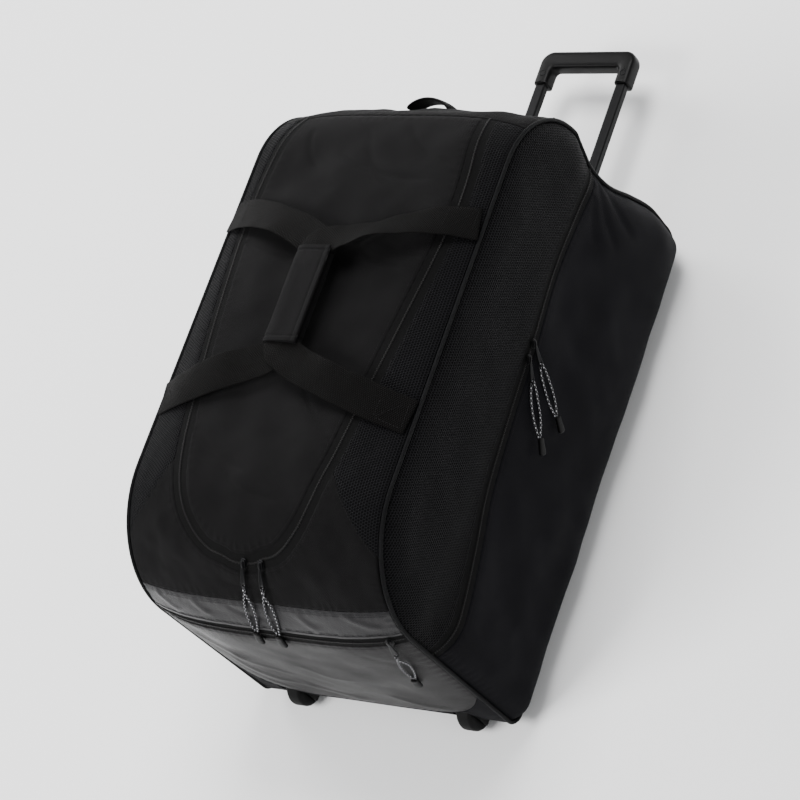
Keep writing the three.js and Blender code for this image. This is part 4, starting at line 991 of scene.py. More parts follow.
# The cord's route from its moulded end, through the tab's eye and back: t, turn, w, h
CORD_ROUTE = np.array([
    (1, 0, 0.25, 0), (0.92, 0, 0.46, 0), (0.79, 0, 0.82, 0), (0.6, 0, 1, 0), (0.42, 0, 0.92, 0.05),
    (0.25, 1, 0.66, 0.4), (0.12, 1.5, 0.35, 0.85), (0.04, 1.5, 0.12, 1), (0, 1.4, 0.03, 1),
    (0, 0.75, 0.01, 0.96), (0, 0.33, 0, 0.74), (0, 0.33, 0, 0.26), (0, 0.75, -0.01, 0.04),
    (0.02, 1.5, -0.08, 0), (0.18, 0, -0.5, 0), (0.4, 0, -0.9, 0), (0.6, 0, -1, 0),
    (0.79, 0, -0.82, 0), (0.92, 0, -0.46, 0), (1, 0, -0.25, 0),
])


def drape_on_band(station, across, turn, off=0.0):
    """A pull on the band: t and w are turned by an angle and laid along the outline and across."""
    c, s = np.cos(np.radians(turn)), np.sin(np.radians(turn))

    def place(t, w, h):
        return band_point(station + t * c - w * s, across + t * s + w * c, CLOTH / 2 + h + off)
    return place


def drape_on_side(side, y, turn):
    """A pull on a side: t runs down from the zip, turned towards the wheel end, and h leaves the
    cloth along the normal of the surface there."""
    c, s = np.cos(np.radians(turn)), np.sin(np.radians(turn))
    z = side_zip_at(y)

    def at(t, w):
        return side_point(side, y - t * s + w * c, z - t * c - w * s, CLOTH / 2)

    def place(t, w, h):
        t, w, h = np.broadcast_arrays(t, w, h)
        normal = unit(np.cross(at(t + 1, w) - at(t - 1, w), at(t, w + 1) - at(t, w - 1)))
        return at(t, w) + normal * np.sign(normal[..., :1] * side) * h[..., None]
    return place


def pullers():
    middle = (STRIP_LOWER + END_ZIP_LOWER) / 2
    back = (BACK_ZIP_LOWER + BACK_ZIP_UPPER) / 2
    return {
        "flap_a": drape_on_band(FLAP_TIP + 3, 2, -14),
        "flap_b": drape_on_band(FLAP_TIP + 3, 31, -10),
        "side_right_a": drape_on_side(1, BAG_LENGTH * 0.5632, 52),
        "side_right_b": drape_on_side(1, BAG_LENGTH * 0.5947, 38),
        "side_left": drape_on_side(-1, BAG_LENGTH * 0.5789, 40),
        "end": drape_on_band(middle, 188, -12),
        "back": drape_on_band(back, 190, 180, HOLLOW_ROOM),
    }


def between_lines(outer, inner, middle, thick, sides, power):
    """A closed body between two paired lines: round each pair runs a rounded rectangle, as wide
    as the pair is apart and as thick as given."""
    ring = ring_section(sides, power)
    flat = ((outer + inner) / 2)[:, None] + ((outer - inner) / 2)[:, None] * ring[None, :, :1]
    return flat, np.broadcast_to(middle + thick / 2 * ring[None, :, 1], flat.shape[:2])


def flat_pattern(rows, columns, high, wide):
    return grid(np.linspace(0, high, rows), np.linspace(0, wide, columns))


def slider_grids(drape):
    """The slider's four rounded parts and the tab with its eye."""
    rows, sides = 12, 20
    turn = np.radians(np.linspace(-89, 89, rows))
    ring = ring_section(sides, 0.55)
    profile = np.cos(turn)[:, None] ** 0.45
    grids = []
    for long, wide, low, high in SLIDER_PARTS:
        t = SLIDER_LENGTH * long / 2 * np.sin(turn)[:, None]
        w = SLIDER_WIDTH * wide / 2 * profile * ring[:, 0]
        h = (low + high) / 2 + (high - low) / 2 * profile * ring[:, 1]
        cloth = flat_pattern(rows, sides + 1, SLIDER_LENGTH * long, 2 * SLIDER_WIDTH * wide)
        grids.append((drape(t, w, h), cloth, (False, True)))
    c, s = circle(48)
    eye = np.stack([EYE_PLACE + EYE_RADIUS * c, EYE_RADIUS * s], axis=1)
    reach = np.where(c > 0, TAB_WIDTH / 2, EYE_PLACE)
    narrow = np.where(c > 0, 1, 1 - 0.3 * np.abs(c))
    outer = np.stack([EYE_PLACE + reach * c, TAB_WIDTH / 2 * narrow * np.sign(s) * np.abs(s) ** 0.5], axis=1)
    flat, level = between_lines(outer, eye, TAB_LIFT + TAB_THICKNESS / 2, TAB_THICKNESS, 12, 0.4)
    grids.append((drape(flat[..., 0], flat[..., 1], level), flat_pattern(49, 13, 60, 10), (True, True)))
    return grids


def cord_end_grid(drape):
    """The moulded cord end: a rounded bar that widens to a blunt point, with two grip grooves."""
    sides = 24
    share = np.concatenate([[0, 0.015, 0.05], np.linspace(0.1, 0.9, 26), [0.94, 0.975, 0.995, 1]])
    close = np.sqrt(np.clip(np.minimum(share / 0.05, (1 - share) / 0.1), 0, 1))
    half = CORD_END_WIDTH * (0.36 + 0.14 * share) * (0.35 + 0.65 * close)
    groove = bell(share - 0.3, 0.025) + bell(share - 0.45, 0.025)
    high = CORD_END_HEIGHT / 2 * (0.5 + 0.5 * close) - 0.4 * groove
    ring = ring_section(sides, 0.6)
    t = (CORD_END_PLACE + CORD_END_LENGTH * share)[:, None]
    w = (half - 0.5 * groove)[:, None] * ring[:, 0]
    h = 1 + CORD_END_HEIGHT / 2 + high[:, None] * ring[:, 1]
    return drape(t, w, h), flat_pattern(len(share), sides + 1, CORD_END_LENGTH, 30)


class KitBagPullers(bpy.types.Operator):
    """Makes the zip sliders, their cords and the moulded cord ends"""

    bl_idname = "kit_bag.pullers"
    bl_label = "Zip Pullers"

    def execute(self, context):
        look = finishes(context)
        radius = millimetres(context, "cord_diameter")[0] / 2
        for name, drape in pullers().items():
            join_grids(f"zip_slider_{name}", slider_grids(drape), look["metal"],
                       node=f"slider_{name}", slot="slider_metal")
            end = piece(f"moulded_end_{name}", *cord_end_grid(drape), look["plastic"],
                        node=f"cord_end_{name}", slot="hard_plastic")
            t, turn, w, h = CORD_ROUTE.T
            route = drape(EYE_PLACE + t * (LOOP_LENGTH - CLEARANCE) + turn * RIM_TURN,
                          w * (LOOP_WIDTH - 2 * CORD_RADIUS) / 2, CORD_REST + h * (OVER_TAB - CORD_REST))
            path = spaced(smooth_path(route, 600), 1.6)
            cord = piece(f"pull_cord_{name}", *tube(path, radius, 12), look["cord"],
                         node=f"cord_{name}", slot="cord")
            float(running_length(path)[-1] * METRES)
        return {"FINISHED"}


# Panels

# Zips: how far the tape runs under the cloth on both sides, half the length across an end, and a
# tooth's size and its distance from the middle line
TAPE_LAP = 2.5
ZIP_REACH = 208
TOOTH_SIZE = (3.4, 1.9, 1.7)
TOOTH_OFFSET = 0.4
# Stitches: length as a share of the pitch, width, thickness and height over the cloth
STITCH_SHARE = 0.72
STITCH_WIDTH = 0.75
STITCH_THICKNESS = 0.6
STITCH_LIFT = 1.1
# Step of the panels' grids, and rounded lengths of panels that are divided by it
CELL = 5.0
MESH_STRIP_LENGTH = 620
FRONT_LENGTH = 200
POCKET_LENGTH = 245
SIDE_PANEL_HEIGHT = 230


def panel(name, place, at, height, material, node, slot, keep=None):
    """A sewn panel: each place of the flat pattern is put on the bag at its height."""
    return piece(name, at(place, CLOTH / 2 + height), place, material, (False, False), keep,
                 BAG_MIDDLE, node, slot=slot, solid=CLOTH)


def zip_tape(name, place, at, sink, look, node):
    """A zip's tape, sunk a little between the panels."""
    piece(name, at(place, -sink), place, look["tape"], (False, False), inside=BAG_MIDDLE, node=node,
          slot="zip_tape", solid=CLOTH / 2)


def zip_teeth(name, line, at, pitch, look, height):
    """Two rows of teeth along a line, each tooth a rounded block across it, one row a half step
    behind the other."""
    middle, along, up = line_frames(at, spaced(line, pitch), height)
    across = unit(np.cross(up, along))
    sides = np.where(np.arange(len(middle)) % 2 == 0, 1, -1)[:, None]
    return beads(name, middle + across * sides * TOOTH_OFFSET, across, up, TOOTH_SIZE, look["teeth"])


def level_zip(name, node, first, last, across, pitch, look):
    """A zip that runs straight across an end of the bag, between two stations."""
    tape = grid(np.linspace(first - TAPE_LAP, last + TAPE_LAP, 9), across)
    zip_tape(f"{name}_tape", tape, on_band, 0.4, look, node)
    middle = level_line((first + last) / 2, np.linspace(-ZIP_REACH, ZIP_REACH, 80))
    zip_teeth(f"{name}_teeth", middle, on_band, pitch, look, 0.5)


def stitches(name, lines, pitch, material):
    """Stitches along several lines: each a short rounded bar that lies in the cloth."""
    frames = [line_frames(at, spaced(line, pitch)[1:-1], STITCH_LIFT) for at, line in lines]
    places, along, up = (np.vstack(part) for part in zip(*frames))
    size = (pitch * STITCH_SHARE, STITCH_WIDTH, STITCH_THICKNESS)
    return beads(name, places, along, up, size, material, sides=4)


def ruled(start, stop, share):
    """Stations from one line to another, a row for each share of the way."""
    return start + (stop - start) * share[:, None]


def over(station, across):
    """Places of a grid of stations, all rows over the same places across."""
    return np.stack([station, np.broadcast_to(across, station.shape)], axis=-1)


# Creases of the lid from the top seam on: start station and x, end station and x, depth, half
# width; the strength multiplies all depths
LID_CREASE_STRENGTH = 1.5
LID_CREASES = (
    (20, 40, 85, 150, 1.3, 4), (35, -20, 120, 60, 1.2, 5), (30, -120, 95, -80, 1.4, 4),
    (190, 60, 230, 150, 1.8, 5), (205, 30, 250, 125, 1.6, 4), (215, -155, 240, -50, 1.5, 5),
    (430, 40, 500, 110, 1.3, 5), (560, -50, 590, 60, 1.2, 5), (60, -60, 110, 120, 1.6, 6),
    (150, -150, 190, -20, 1.4, 5), (165, 150, 215, 40, 1.5, 5), (500, -120, 560, -10, 1.2, 6),
)


class KitBagLid(bpy.types.Operator):
    """Makes the lid panel and the zip round it"""

    bl_idname = "kit_bag.lid"
    bl_label = "Lid and Its Zip"

    def execute(self, context):
        look = finishes(context)
        folds, puckers, pitch = millimetres(context, "panel_folds", "puckers", "tooth_pitch")
        half = half_beside(-(TAPE_INSIDE + CLEARANCE))
        width = FLAP_WIDTH / 2
        columns = graded([-width, width], CELL) / width
        place = np.stack([half[:, :1] * np.ones(len(columns)), half[:, 1:] * columns], axis=-1)
        height = sewn_height(place, 11, folds, 190, puckers)
        height -= LID_CREASE_STRENGTH * creases(place, LID_CREASES, TOP_SEAM)
        panel("lid", place, on_band, height, look["panel"], "top_flap", "panel_cloth")
        shares = np.linspace(-TAPE_INSIDE - 3, TAPE_OUTSIDE + 3, 12)
        tape = np.stack([beside(share) for share in shares], axis=1)
        zip_tape("lid_zip_tape", tape, on_band, 0.2, look, "flap_zip")
        zip_teeth("lid_zip_teeth", beside((TAPE_OUTSIDE - TAPE_INSIDE) / 2), on_band, pitch, look, 0.7)
        return {"FINISHED"}


def front_top_line(outer):
    """The front panel's upper edge: the mesh border, then the outside of the flap's zip."""
    first = int(np.argmax(outer[:, 0] > mesh_border(outer[:, 1]) + HALF_GAP))
    across = np.linspace(BAND_HALF, outer[first, 1], 22)[:-1]
    border = np.stack([mesh_border(across) + HALF_GAP, across], axis=1)
    return mirrored(np.vstack([border, outer[first:]]))


class KitBagTopPanels(bpy.types.Operator):
    """Makes the mesh strips beside the lid and the plain panel round its end"""

    bl_idname = "kit_bag.top_panels"
    bl_label = "Mesh Strips and Front Panel"

    def execute(self, context):
        look = finishes(context)
        folds, puckers = millimetres(context, "panel_folds", "puckers")
        outer = half_beside(TAPE_OUTSIDE + CLEARANCE)
        end_inner = np.interp(mesh_border(MESH_END_INNER_HALF), *outer.T)
        shares = shares_of(BAND_HALF - end_inner, 3.4)
        stop = mesh_border(end_inner + (BAND_HALF - end_inner) * shares) - HALF_GAP
        station = ruled(TOP_SEAM + HALF_GAP, stop, shares_of(MESH_STRIP_LENGTH, CELL))
        inner = np.interp(station, *outer.T)
        across = inner + (BAND_HALF - inner) * shares
        for name, side in (("left", -1), ("right", 1)):
            place = np.stack([station, side * across], axis=-1)
            height = sewn_height(place, 21 + side, 1.0, 90, puckers, hem=3.5)
            panel(f"top_mesh_{name}", place, on_band, height, look["mesh"], f"mesh_strip_{name}",
                  "mesh_cloth")
        top, across = front_top_line(outer).T
        place = over(ruled(top, STRIP_UPPER - HALF_GAP, shares_of(FRONT_LENGTH, 4.6)), across)
        height = sewn_height(place, 31, folds * 0.8, 120, puckers)
        panel("front_cloth", place, on_band, height, look["panel"], "front_panel", "panel_cloth")
        return {"FINISHED"}


# Width of the light strip's folded lower edge
FOLD_WIDTH = 4.5

# Creases of the light strip, from its upper edge on, like those of the lid
STRIP_CREASES = (
    (6, -185, 34, -150, 1.6, 5), (4, -120, 30, -95, 1.5, 5), (8, -60, 26, 20, -1.2, 4),
    (10, 60, 36, 90, 1.3, 5), (5, 140, 28, 190, 1.6, 5),
)

# Creases of the end pocket, from its upper edge on
POCKET_CREASE_STRENGTH = 0.65
POCKET_CREASES = (
    (90, -150, 150, -70, 1.6, 5), (95, -30, 130, 50, 1.0, 5), (118, -170, 205, -60, 3.0, 7),
    (150, -190, 225, -120, 2.6, 6), (60, -195, 110, -120, 2.0, 8), (175, -90, 228, 10, 2.2, 7),
    (40, -60, 90, 60, 1.2, 12), (190, 60, 226, 150, 1.8, 7), (20, 120, 70, 196, -1.4, 8),
)


class KitBagWheelEnd(bpy.types.Operator):
    """Makes the light strip, the zip and the grey pocket of the wheel end"""

    bl_idname = "kit_bag.wheel_end"
    bl_label = "Wheel End"

    def execute(self, context):
        look = finishes(context)
        folds, puckers, pitch = millimetres(context, "pocket_folds", "puckers", "tooth_pitch")
        across = graded([-BAND_HALF, BAND_HALF], 4.0)
        place = grid(graded([STRIP_UPPER + HALF_GAP, STRIP_LOWER - HALF_GAP], 3.0), across)
        height = sewn_height(place, 41, 1.3, 90, puckers, roll=1.0, hem=4)
        height += creases(place, STRIP_CREASES, STRIP_UPPER)
        panel("light_strip", place, on_band, height, look["strip"], "reflective_strip", "light_cloth")
        fold = level_line(STRIP_LOWER - FOLD_WIDTH * 0.6, across)
        fold[:, 0] += 0.8 * soft_noise(fold, 43, 80)
        ring = ring_section(12, 0.5)
        flat = fold[:, None] + ring[:, :1] * (FOLD_WIDTH / 2, 0)
        rise = CLOTH / 2 - 0.2 + 0.6 * ring[None, :, 1] + 0.1 * soft_noise(flat, 44, 50)
        piece("strip_fold", on_band(flat, rise), flat_pattern(len(across), 13, 420, 12), look["strip"],
              slot="light_cloth")
        level_zip("end_zip", "end_zip", STRIP_LOWER, END_ZIP_LOWER, across, pitch, look)
        shares = shares_of(POCKET_LENGTH, 4.4)
        station = ruled(END_ZIP_LOWER + HALF_GAP, tray_edge(across) - HALF_GAP, shares)
        place = over(station, across)
        height = sewn_height(place, 51, folds, 190, puckers, roll=1.0)
        height += POCKET_CREASE_STRENGTH * creases(place, POCKET_CREASES, END_ZIP_LOWER)
        panel("end_pocket_cloth", place, on_band, height, look["pocket"], "end_pocket", "grey_cloth")
        return {"FINISHED"}


def between_places(places, low, high):
    """Which steps between the places lie in a range."""
    middle = (places[1:] + places[:-1]) / 2
    return (middle > low) & (middle < high)


class KitBagHandleEnd(bpy.types.Operator):
    """Makes the upper panel, the zip and the pocket of the handle end"""

    bl_idname = "kit_bag.handle_end"
    bl_label = "Handle End"

    def execute(self, context):
        look = finishes(context)
        folds, puckers, pitch = millimetres(context, "panel_folds", "puckers", "tooth_pitch")
        across = graded([-BAND_HALF, BAND_HALF], CELL)
        place = grid(graded([BACK_ZIP_UPPER + HALF_GAP, TOP_SEAM - HALF_GAP], CELL), across)
        height = sewn_height(place, 61, folds, 130, puckers)
        panel("handle_end_cloth", place, on_band, height, look["panel"], "handle_end_panel", "panel_cloth")
        level_zip("back_zip", "back_zip", BACK_ZIP_LOWER, BACK_ZIP_UPPER, across, pitch, look)
        half = THROAT_HALF_WIDTH + CLEARANCE
        low = on_handle_end(THROAT_LOW - CLEARANCE - STAND_HEIGHT)
        high = on_handle_end(THROAT_HIGH + CLEARANCE - STAND_HEIGHT)
        stations = graded([TRAY_HANDLE_EDGE + HALF_GAP, low, high, BACK_ZIP_LOWER - HALF_GAP], CELL)
        across = graded([-BAND_HALF, -half, half, BAND_HALF], CELL)
        place = grid(stations, across)
        in_throat = between_places(stations, low, high)[:, None] & between_places(across, -half, half)
        height = sewn_height(place, 71, folds, 140, puckers)
        panel("back_pocket_cloth", place, on_band, height, look["panel"], "back_pocket", "panel_cloth",
              keep=~in_throat)
        return {"FINISHED"}


class KitBagTray(bpy.types.Operator):
    """Makes the base tray, open round the wheel housings"""

    bl_idname = "kit_bag.tray"
    bl_label = "Base Tray"

    def execute(self, context):
        look = finishes(context)
        puckers, = millimetres(context, "puckers")
        inner = WHEEL_TREAD / 2 - HOUSING_HALF - CLEARANCE
        outer = WHEEL_TREAD / 2 + HOUSING_HALF + CLEARANCE
        across = graded([-BAND_HALF, -outer, -inner, inner, outer, BAND_HALF], 6.0)
        edge = tray_edge(across) + HALF_GAP - AROUND
        cut_top = on_wheel_end(HOUSING_TOP + CLEARANCE - STAND_HEIGHT) - AROUND
        cut_base = HOUSING_BACK + CLEARANCE - WHEEL_BASE_RADIUS
        above = np.maximum(edge + 1, cut_top)
        # Rows of squares over the wells, and rows beside them round the corner
        over_well, beside_well = 5, 21
        base = graded([cut_base, TRAY_HANDLE_EDGE - HALF_GAP], 8.0)
        station = np.vstack([ruled(edge, above, np.linspace(0, 1, over_well + 1)[:-1]),
                             ruled(above, cut_base, np.linspace(0, 1, beside_well + 1)[:-1]),
                             np.broadcast_to(base[:, None], (len(base), len(across)))])
        row = np.arange(len(station) - 1)
        cut_rows = (row >= over_well) & (row < over_well + beside_well)
        cut_columns = between_places(across, inner, outer) | between_places(across, -outer, -inner)
        place = over(station, across)
        height = sewn_height(place, 81, 0.5, 160, puckers, roll=0.8, hem=4)
        panel("tray_cloth", place, on_band, height, look["smooth"], "base_tray", "smooth_cloth",
              keep=~(cut_rows[:, None] & cut_columns))
        return {"FINISHED"}


def side_lines():
    """The side's two halves as paired lines: the seam below or above, and the zip between."""
    wheel, handle = side_zip_at(np.array([0.0, BAG_LENGTH]))
    lines = []
    for edge, turn in ((-SIDE_ZIP_BAND / 2, AROUND), (SIDE_ZIP_BAND / 2, 0)):
        stations = np.linspace(on_wheel_end(wheel + edge) - turn, on_handle_end(handle + edge), 420)
        seam = on_outline(stations) - outline_normal(stations) * SEAM_INSET
        y = np.linspace(seam[0, 0], seam[-1, 0], 420)
        lines.append((seam, np.stack([y, side_zip_at(y) + edge], axis=1)))
    return lines


def ruled_side(seam, zip_side):
    """Places from the seam to the zip: the seam at even steps, and the zip at places that follow
    the seam's own y, mixed with even steps so that neither line doubles back."""
    along = spaced(seam, CELL)
    low, high = zip_side[0, 0], zip_side[-1, 0]
    by_place = np.maximum.accumulate(np.clip((along[:, 0] - low) / (high - low), 0, 1))
    share = by_place * 0.75 + np.linspace(0, 1, len(along)) * 0.25
    share = (share - share[0]) / (share[-1] - share[0])
    y = low + (high - low) * share
    met = np.stack([y, np.interp(y, *zip_side.T)], axis=1)
    return along + (met - along) * shares_of(SIDE_PANEL_HEIGHT, 6.0)[:, None, None]


# Creases that run from the side zip's upper end into the pocket: start y and z, end y and z,
# depth, half width
SIDE_CREASES = (
    (738, 232, 690, 150, -2.6, 8), (724, 246, 655, 180, -2.2, 7), (704, 250, 640, 222, -1.6, 6),
    (60, 200, 110, 120, -1.8, 9),
)


class KitBagSides(bpy.types.Operator):
    """Makes both sides: pocket panel, zip and open mesh"""

    bl_idname = "kit_bag.sides"
    bl_label = "Sides"

    def execute(self, context):
        look = finishes(context)
        folds, puckers, pitch = millimetres(context, "panel_folds", "puckers", "tooth_pitch")
        lower, upper = side_lines()
        y = np.linspace(SEAM_INSET + CLEARANCE, lower[1][-1, 0] - 2 * CLEARANCE, 180)
        reach = SIDE_ZIP_BAND / 2 + TAPE_LAP
        for name, side in (("left", -1), ("right", 1)):
            at = on_side(side)
            place = ruled_side(*lower)
            height = sewn_height(place, 91 + side, folds * 1.2, 230, puckers) + creases(place, SIDE_CREASES)
            panel(f"side_pocket_cloth_{name}", place, at, height, look["smooth"], f"side_pocket_{name}",
                  "smooth_cloth")
            place = ruled_side(*upper)
            height = sewn_height(place, 95 + side, folds * 0.6, 230, puckers)
            panel(f"side_mesh_cloth_{name}", place, at, height, look["mesh"], f"side_mesh_{name}",
                  "mesh_cloth")
            tape = grid(y, np.linspace(-reach, reach, 9))
            tape[..., 1] += side_zip_at(y)[:, None]
            zip_tape(f"side_zip_tape_{name}", tape, at, 0.3, look, f"side_zip_{name}")
            zip_teeth(f"side_zip_teeth_{name}", np.stack([y, side_zip_at(y)], axis=1), at, pitch, look, 0.6)
            ends = on_outline(np.arange(520) * AROUND / 520)
            path = np.insert(ends, 0, side * BAG_WIDTH / 2, axis=1) + (0, -FRAME_SHIFT, STAND_HEIGHT)
            piece(f"piped_seam_{name}", *tube(path, PIPING_RADIUS, 12, closed=True), look["piping"],
                  (True, True), node=f"piping_{name}", slot="piping")
        return {"FINISHED"}


# Crossed box of stitches on each strap end: corners in shares of its length and half width
BOX_CORNERS = np.array([(0.0, 1.0), (0.0, -1.0), (1.0, -1.0), (1.0, 1.0), (0.0, 1.0), (1.0, -1.0)])
BOX_LENGTH = 34
BOX_EDGE = 5
# Distance of a stitched line from its seam, and of the second of two lines
HEM = 5
SECOND_HEM = 7.5


class KitBagStitching(bpy.types.Operator):
    """Makes the stitched lines of the hems"""

    bl_idname = "kit_bag.stitching"
    bl_label = "Stitching"

    def execute(self, context):
        look = finishes(context)
        pitch, = millimetres(context, "stitch_pitch")
        across = np.linspace(-BAND_HALF + 3, BAND_HALF - 3, 200)

        def levels(*stations):
            return [(on_band, level_line(station, across)) for station in stations]
        dark = [(on_band, beside(-(TAPE_INSIDE + HEM))), (on_band, beside(TAPE_OUTSIDE + HEM))]
        dark += levels(STRIP_UPPER - HEM, BACK_ZIP_LOWER - HEM, BACK_ZIP_UPPER + HEM)
        y = np.linspace(12, BAG_LENGTH - 34, 240)
        border = np.linspace(MESH_END_INNER_HALF + 8, BAND_HALF - 2, 40)
        reach = SIDE_ZIP_BAND / 2 + 4.5
        for side in (-1, 1):
            for offset in (-reach, reach):
                dark.append((on_side(side), np.stack([y, side_zip_at(y) + offset], axis=1)))
            dark.append((on_band, np.stack([mesh_border(border) + HEM, side * border], axis=1)))
        corners = BOX_CORNERS * (BOX_LENGTH, WEBBING / 2 - BOX_EDGE) + (BOX_EDGE, 0)
        for side in (-1, 1):
            for seam in (UPPER_STRAP_PLACE, LOWER_STRAP_PLACE):
                at = on_strap_end(side, seam)
                dark += [(at, spaced(np.stack([a, b]), pitch / 2)) for a, b in zip(corners[:-1], corners[1:])]
        stitches("dark_stitching", dark, pitch, look["thread"])
        light = levels(STRIP_UPPER + 4, STRIP_UPPER + SECOND_HEM, STRIP_LOWER - 4, STRIP_LOWER - SECOND_HEM,
                       END_ZIP_LOWER + HEM)
        stitches("light_stitching", light, pitch, look["light_thread"])
        return {"FINISHED"}


# Webbing in millimetres
WEBBING = 50
WEBBING_THICKNESS = 2.5
UPPER_STRAP_PLACE = BAG_LENGTH * 0.7066
LOWER_STRAP_PLACE = BAG_LENGTH * 0.3237
WRAP_MIDDLE = BAG_LENGTH * 0.5132
WRAP_LENGTH = 148
WRAP_HEIGHT = 24
WRAP_WALL = 6
WRAP_LIFT = 9
WRAP_PAD = 3.8
WRAP_EDGE_LIFT = 3.2
WRAP_START = np.radians(95)
WRAP_TURN = np.radians(420)
WRAP_SIDE_ROOM = 1
WRAP_BORE = WRAP_HEIGHT - 2 * WRAP_WALL
# Shares of the wrap's length where its last turn and its free edge start
WRAP_LAST_TURN = 0.72
WRAP_FREE_EDGE = 0.93
BINDING = 5
# Depth of the strap's cupped section, and the length over which it starts
STRAP_CUP = 1.6
STRAP_CUP_REACH = 60
STRAP_SEAT = 1.8
STRAP_END = BAND_HALF - CLEARANCE
GRAB_LENGTH = 68
GRAB_WIDTH = 28
GRAB_THICKNESS = 5
GRAB_MIDDLE = BAG_HEIGHT - 76
GRAB_RISE = 18

# One half of a carrying loop, from the piping to the wrap: out, along, lift, roll
STRAP_ROWS = np.array([
    (1.0, 1.0, 0, 0), (0.8, 0.92, 0.45, 4), (0.58, 0.78, 0.95, 12), (0.38, 0.61, 1.3, 18),
    (0.2, 0.42, 1.45, 10), (0.07, 0.22, 1.4, 4), (0.01, 0.08, 1.3, 1), (0, -0.05, 1.3, 0), (0, -0.5, 1.3, 0),
])
# The right loop's upper half sags towards the wrap and stands more on its edge
RIGHT_UPPER_ROWS = np.array([
    (1.0, 1.0, 0, 0), (0.8, 0.88, 0.4, 8), (0.58, 0.66, 0.7, 24), (0.38, 0.46, 0.9, 36),
    (0.2, 0.3, 1.1, 24), (0.07, 0.17, 1.3, 8), (0.01, 0.06, 1.3, 1), (0, -0.05, 1.3, 0), (0, -0.5, 1.3, 0),
])
TOP_RUN = np.flatnonzero((OUTLINE[:, 1] > BAG_HEIGHT - 40) & (OUTLINE[:, 0] > 40))


def top_surface(x, y):
    """Height of the lid's outer side over a place of the bag's flat top."""
    station = np.interp(-y, -OUTLINE[TOP_RUN, 0], STATIONS[TOP_RUN])
    return band_point(station, x, CLOTH / 2)[..., 2]


def strap_bed(x, y):
    return top_surface(x, y) + STRAP_SEAT + WEBBING_THICKNESS / 2


WRAP_LEVEL = float(top_surface(0.0, WRAP_MIDDLE)) + WRAP_LIFT + WRAP_HEIGHT / 2


def strap_path(side):
    """The loop's middle line and its roll: a curve through the strap's table from one seam over
    the wrap to the other, kept clear of the lid."""
    count = 260
    in_wrap = WRAP_LEVEL + side * (WRAP_BORE / 2 - CLEARANCE - WEBBING_THICKNESS / 2)
    upper_rows = RIGHT_UPPER_ROWS if side > 0 else STRAP_ROWS

    def half(rows, seam, mouth):
        out, along, lift, roll = rows.T
        x = side * out * STRAP_END
        y = mouth + (seam - mouth) * along
        free = strap_bed(x, y) + lift * WRAP_LIFT + np.sin(np.radians(roll)) * WEBBING / 2
        return np.stack([x, y, free + (in_wrap - free) * np.clip(1 - out * 4, 0, 1)], axis=1)
    upper = half(upper_rows, UPPER_STRAP_PLACE, WRAP_MIDDLE + WRAP_LENGTH / 2)
    lower = half(STRAP_ROWS, LOWER_STRAP_PLACE, WRAP_MIDDLE - WRAP_LENGTH / 2)
    path = smooth_path(np.vstack([upper, lower[::-1]]), count)
    rolls = np.concatenate([upper_rows[:, 3], STRAP_ROWS[::-1, 3]]) * side
    k, t = spans_of(len(rolls), count)
    path[:, 2] = np.maximum(path[:, 2], strap_bed(path[:, 0], path[:, 1]))
    return path, cubic(t, rolls[k], rolls[k + 1], 0, 0)


def strap_grid(path, roll, cup):
    """The webbing's section carried along a path: level across it, then rolled about the path.
    The cup bends the section's edges down."""
    along = unit(np.gradient(path, axis=0))
    level = unit(np.cross((0, 0, 1), along))
    turn = np.radians(roll)[:, None]
    across = level * np.cos(turn) + np.cross(along, level) * np.sin(turn)
    up = np.cross(along, across)
    section = ring_section(28, 0.5)
    wide = WEBBING / 2 * section[:, 0]
    high = WEBBING_THICKNESS / 2 * section[:, 1] - cup[:, None] * section[None, :, 0] ** 2
    points = path[:, None] + across[:, None] * wide[None, :, None] + up[:, None] * high[..., None]
    return points, grid(running_length(path), np.append(wide, wide[0]))


def on_strap_end(side, seam):
    """Puts lines on a strap's sewn end: the first coordinate runs inwards from the piping, the
    second along the bag, and the strap's roll tips them."""
    path, roll = strap_path(side)
    half = len(path) // 2
    part = slice(0, half) if seam == UPPER_STRAP_PLACE else slice(len(path) - 1, half, -1)
    out, run, rise, tip = (column[part][::-1] for column in (np.abs(path[:, 0]), *path.T[1:], roll))

    def at(line, height):
        reach = STRAP_END - line[..., 0]
        z = np.interp(reach, out, rise) + WEBBING_THICKNESS / 2 + height
        z = z - line[..., 1] * np.tan(np.radians(np.interp(reach, out, tip) * side))
        return np.stack([side * reach, np.interp(reach, out, run) + line[..., 1] - FRAME_SHIFT, z], axis=-1)
    return at


def binding(inwards, rise, groove):
    """Height of a bound edge: a raised band up to its width, then a stitched groove."""
    raised = rise * bell(np.clip(inwards - BINDING, 0, None), 1.2)
    return raised - groove * bell(inwards - BINDING - 3, 1.3)


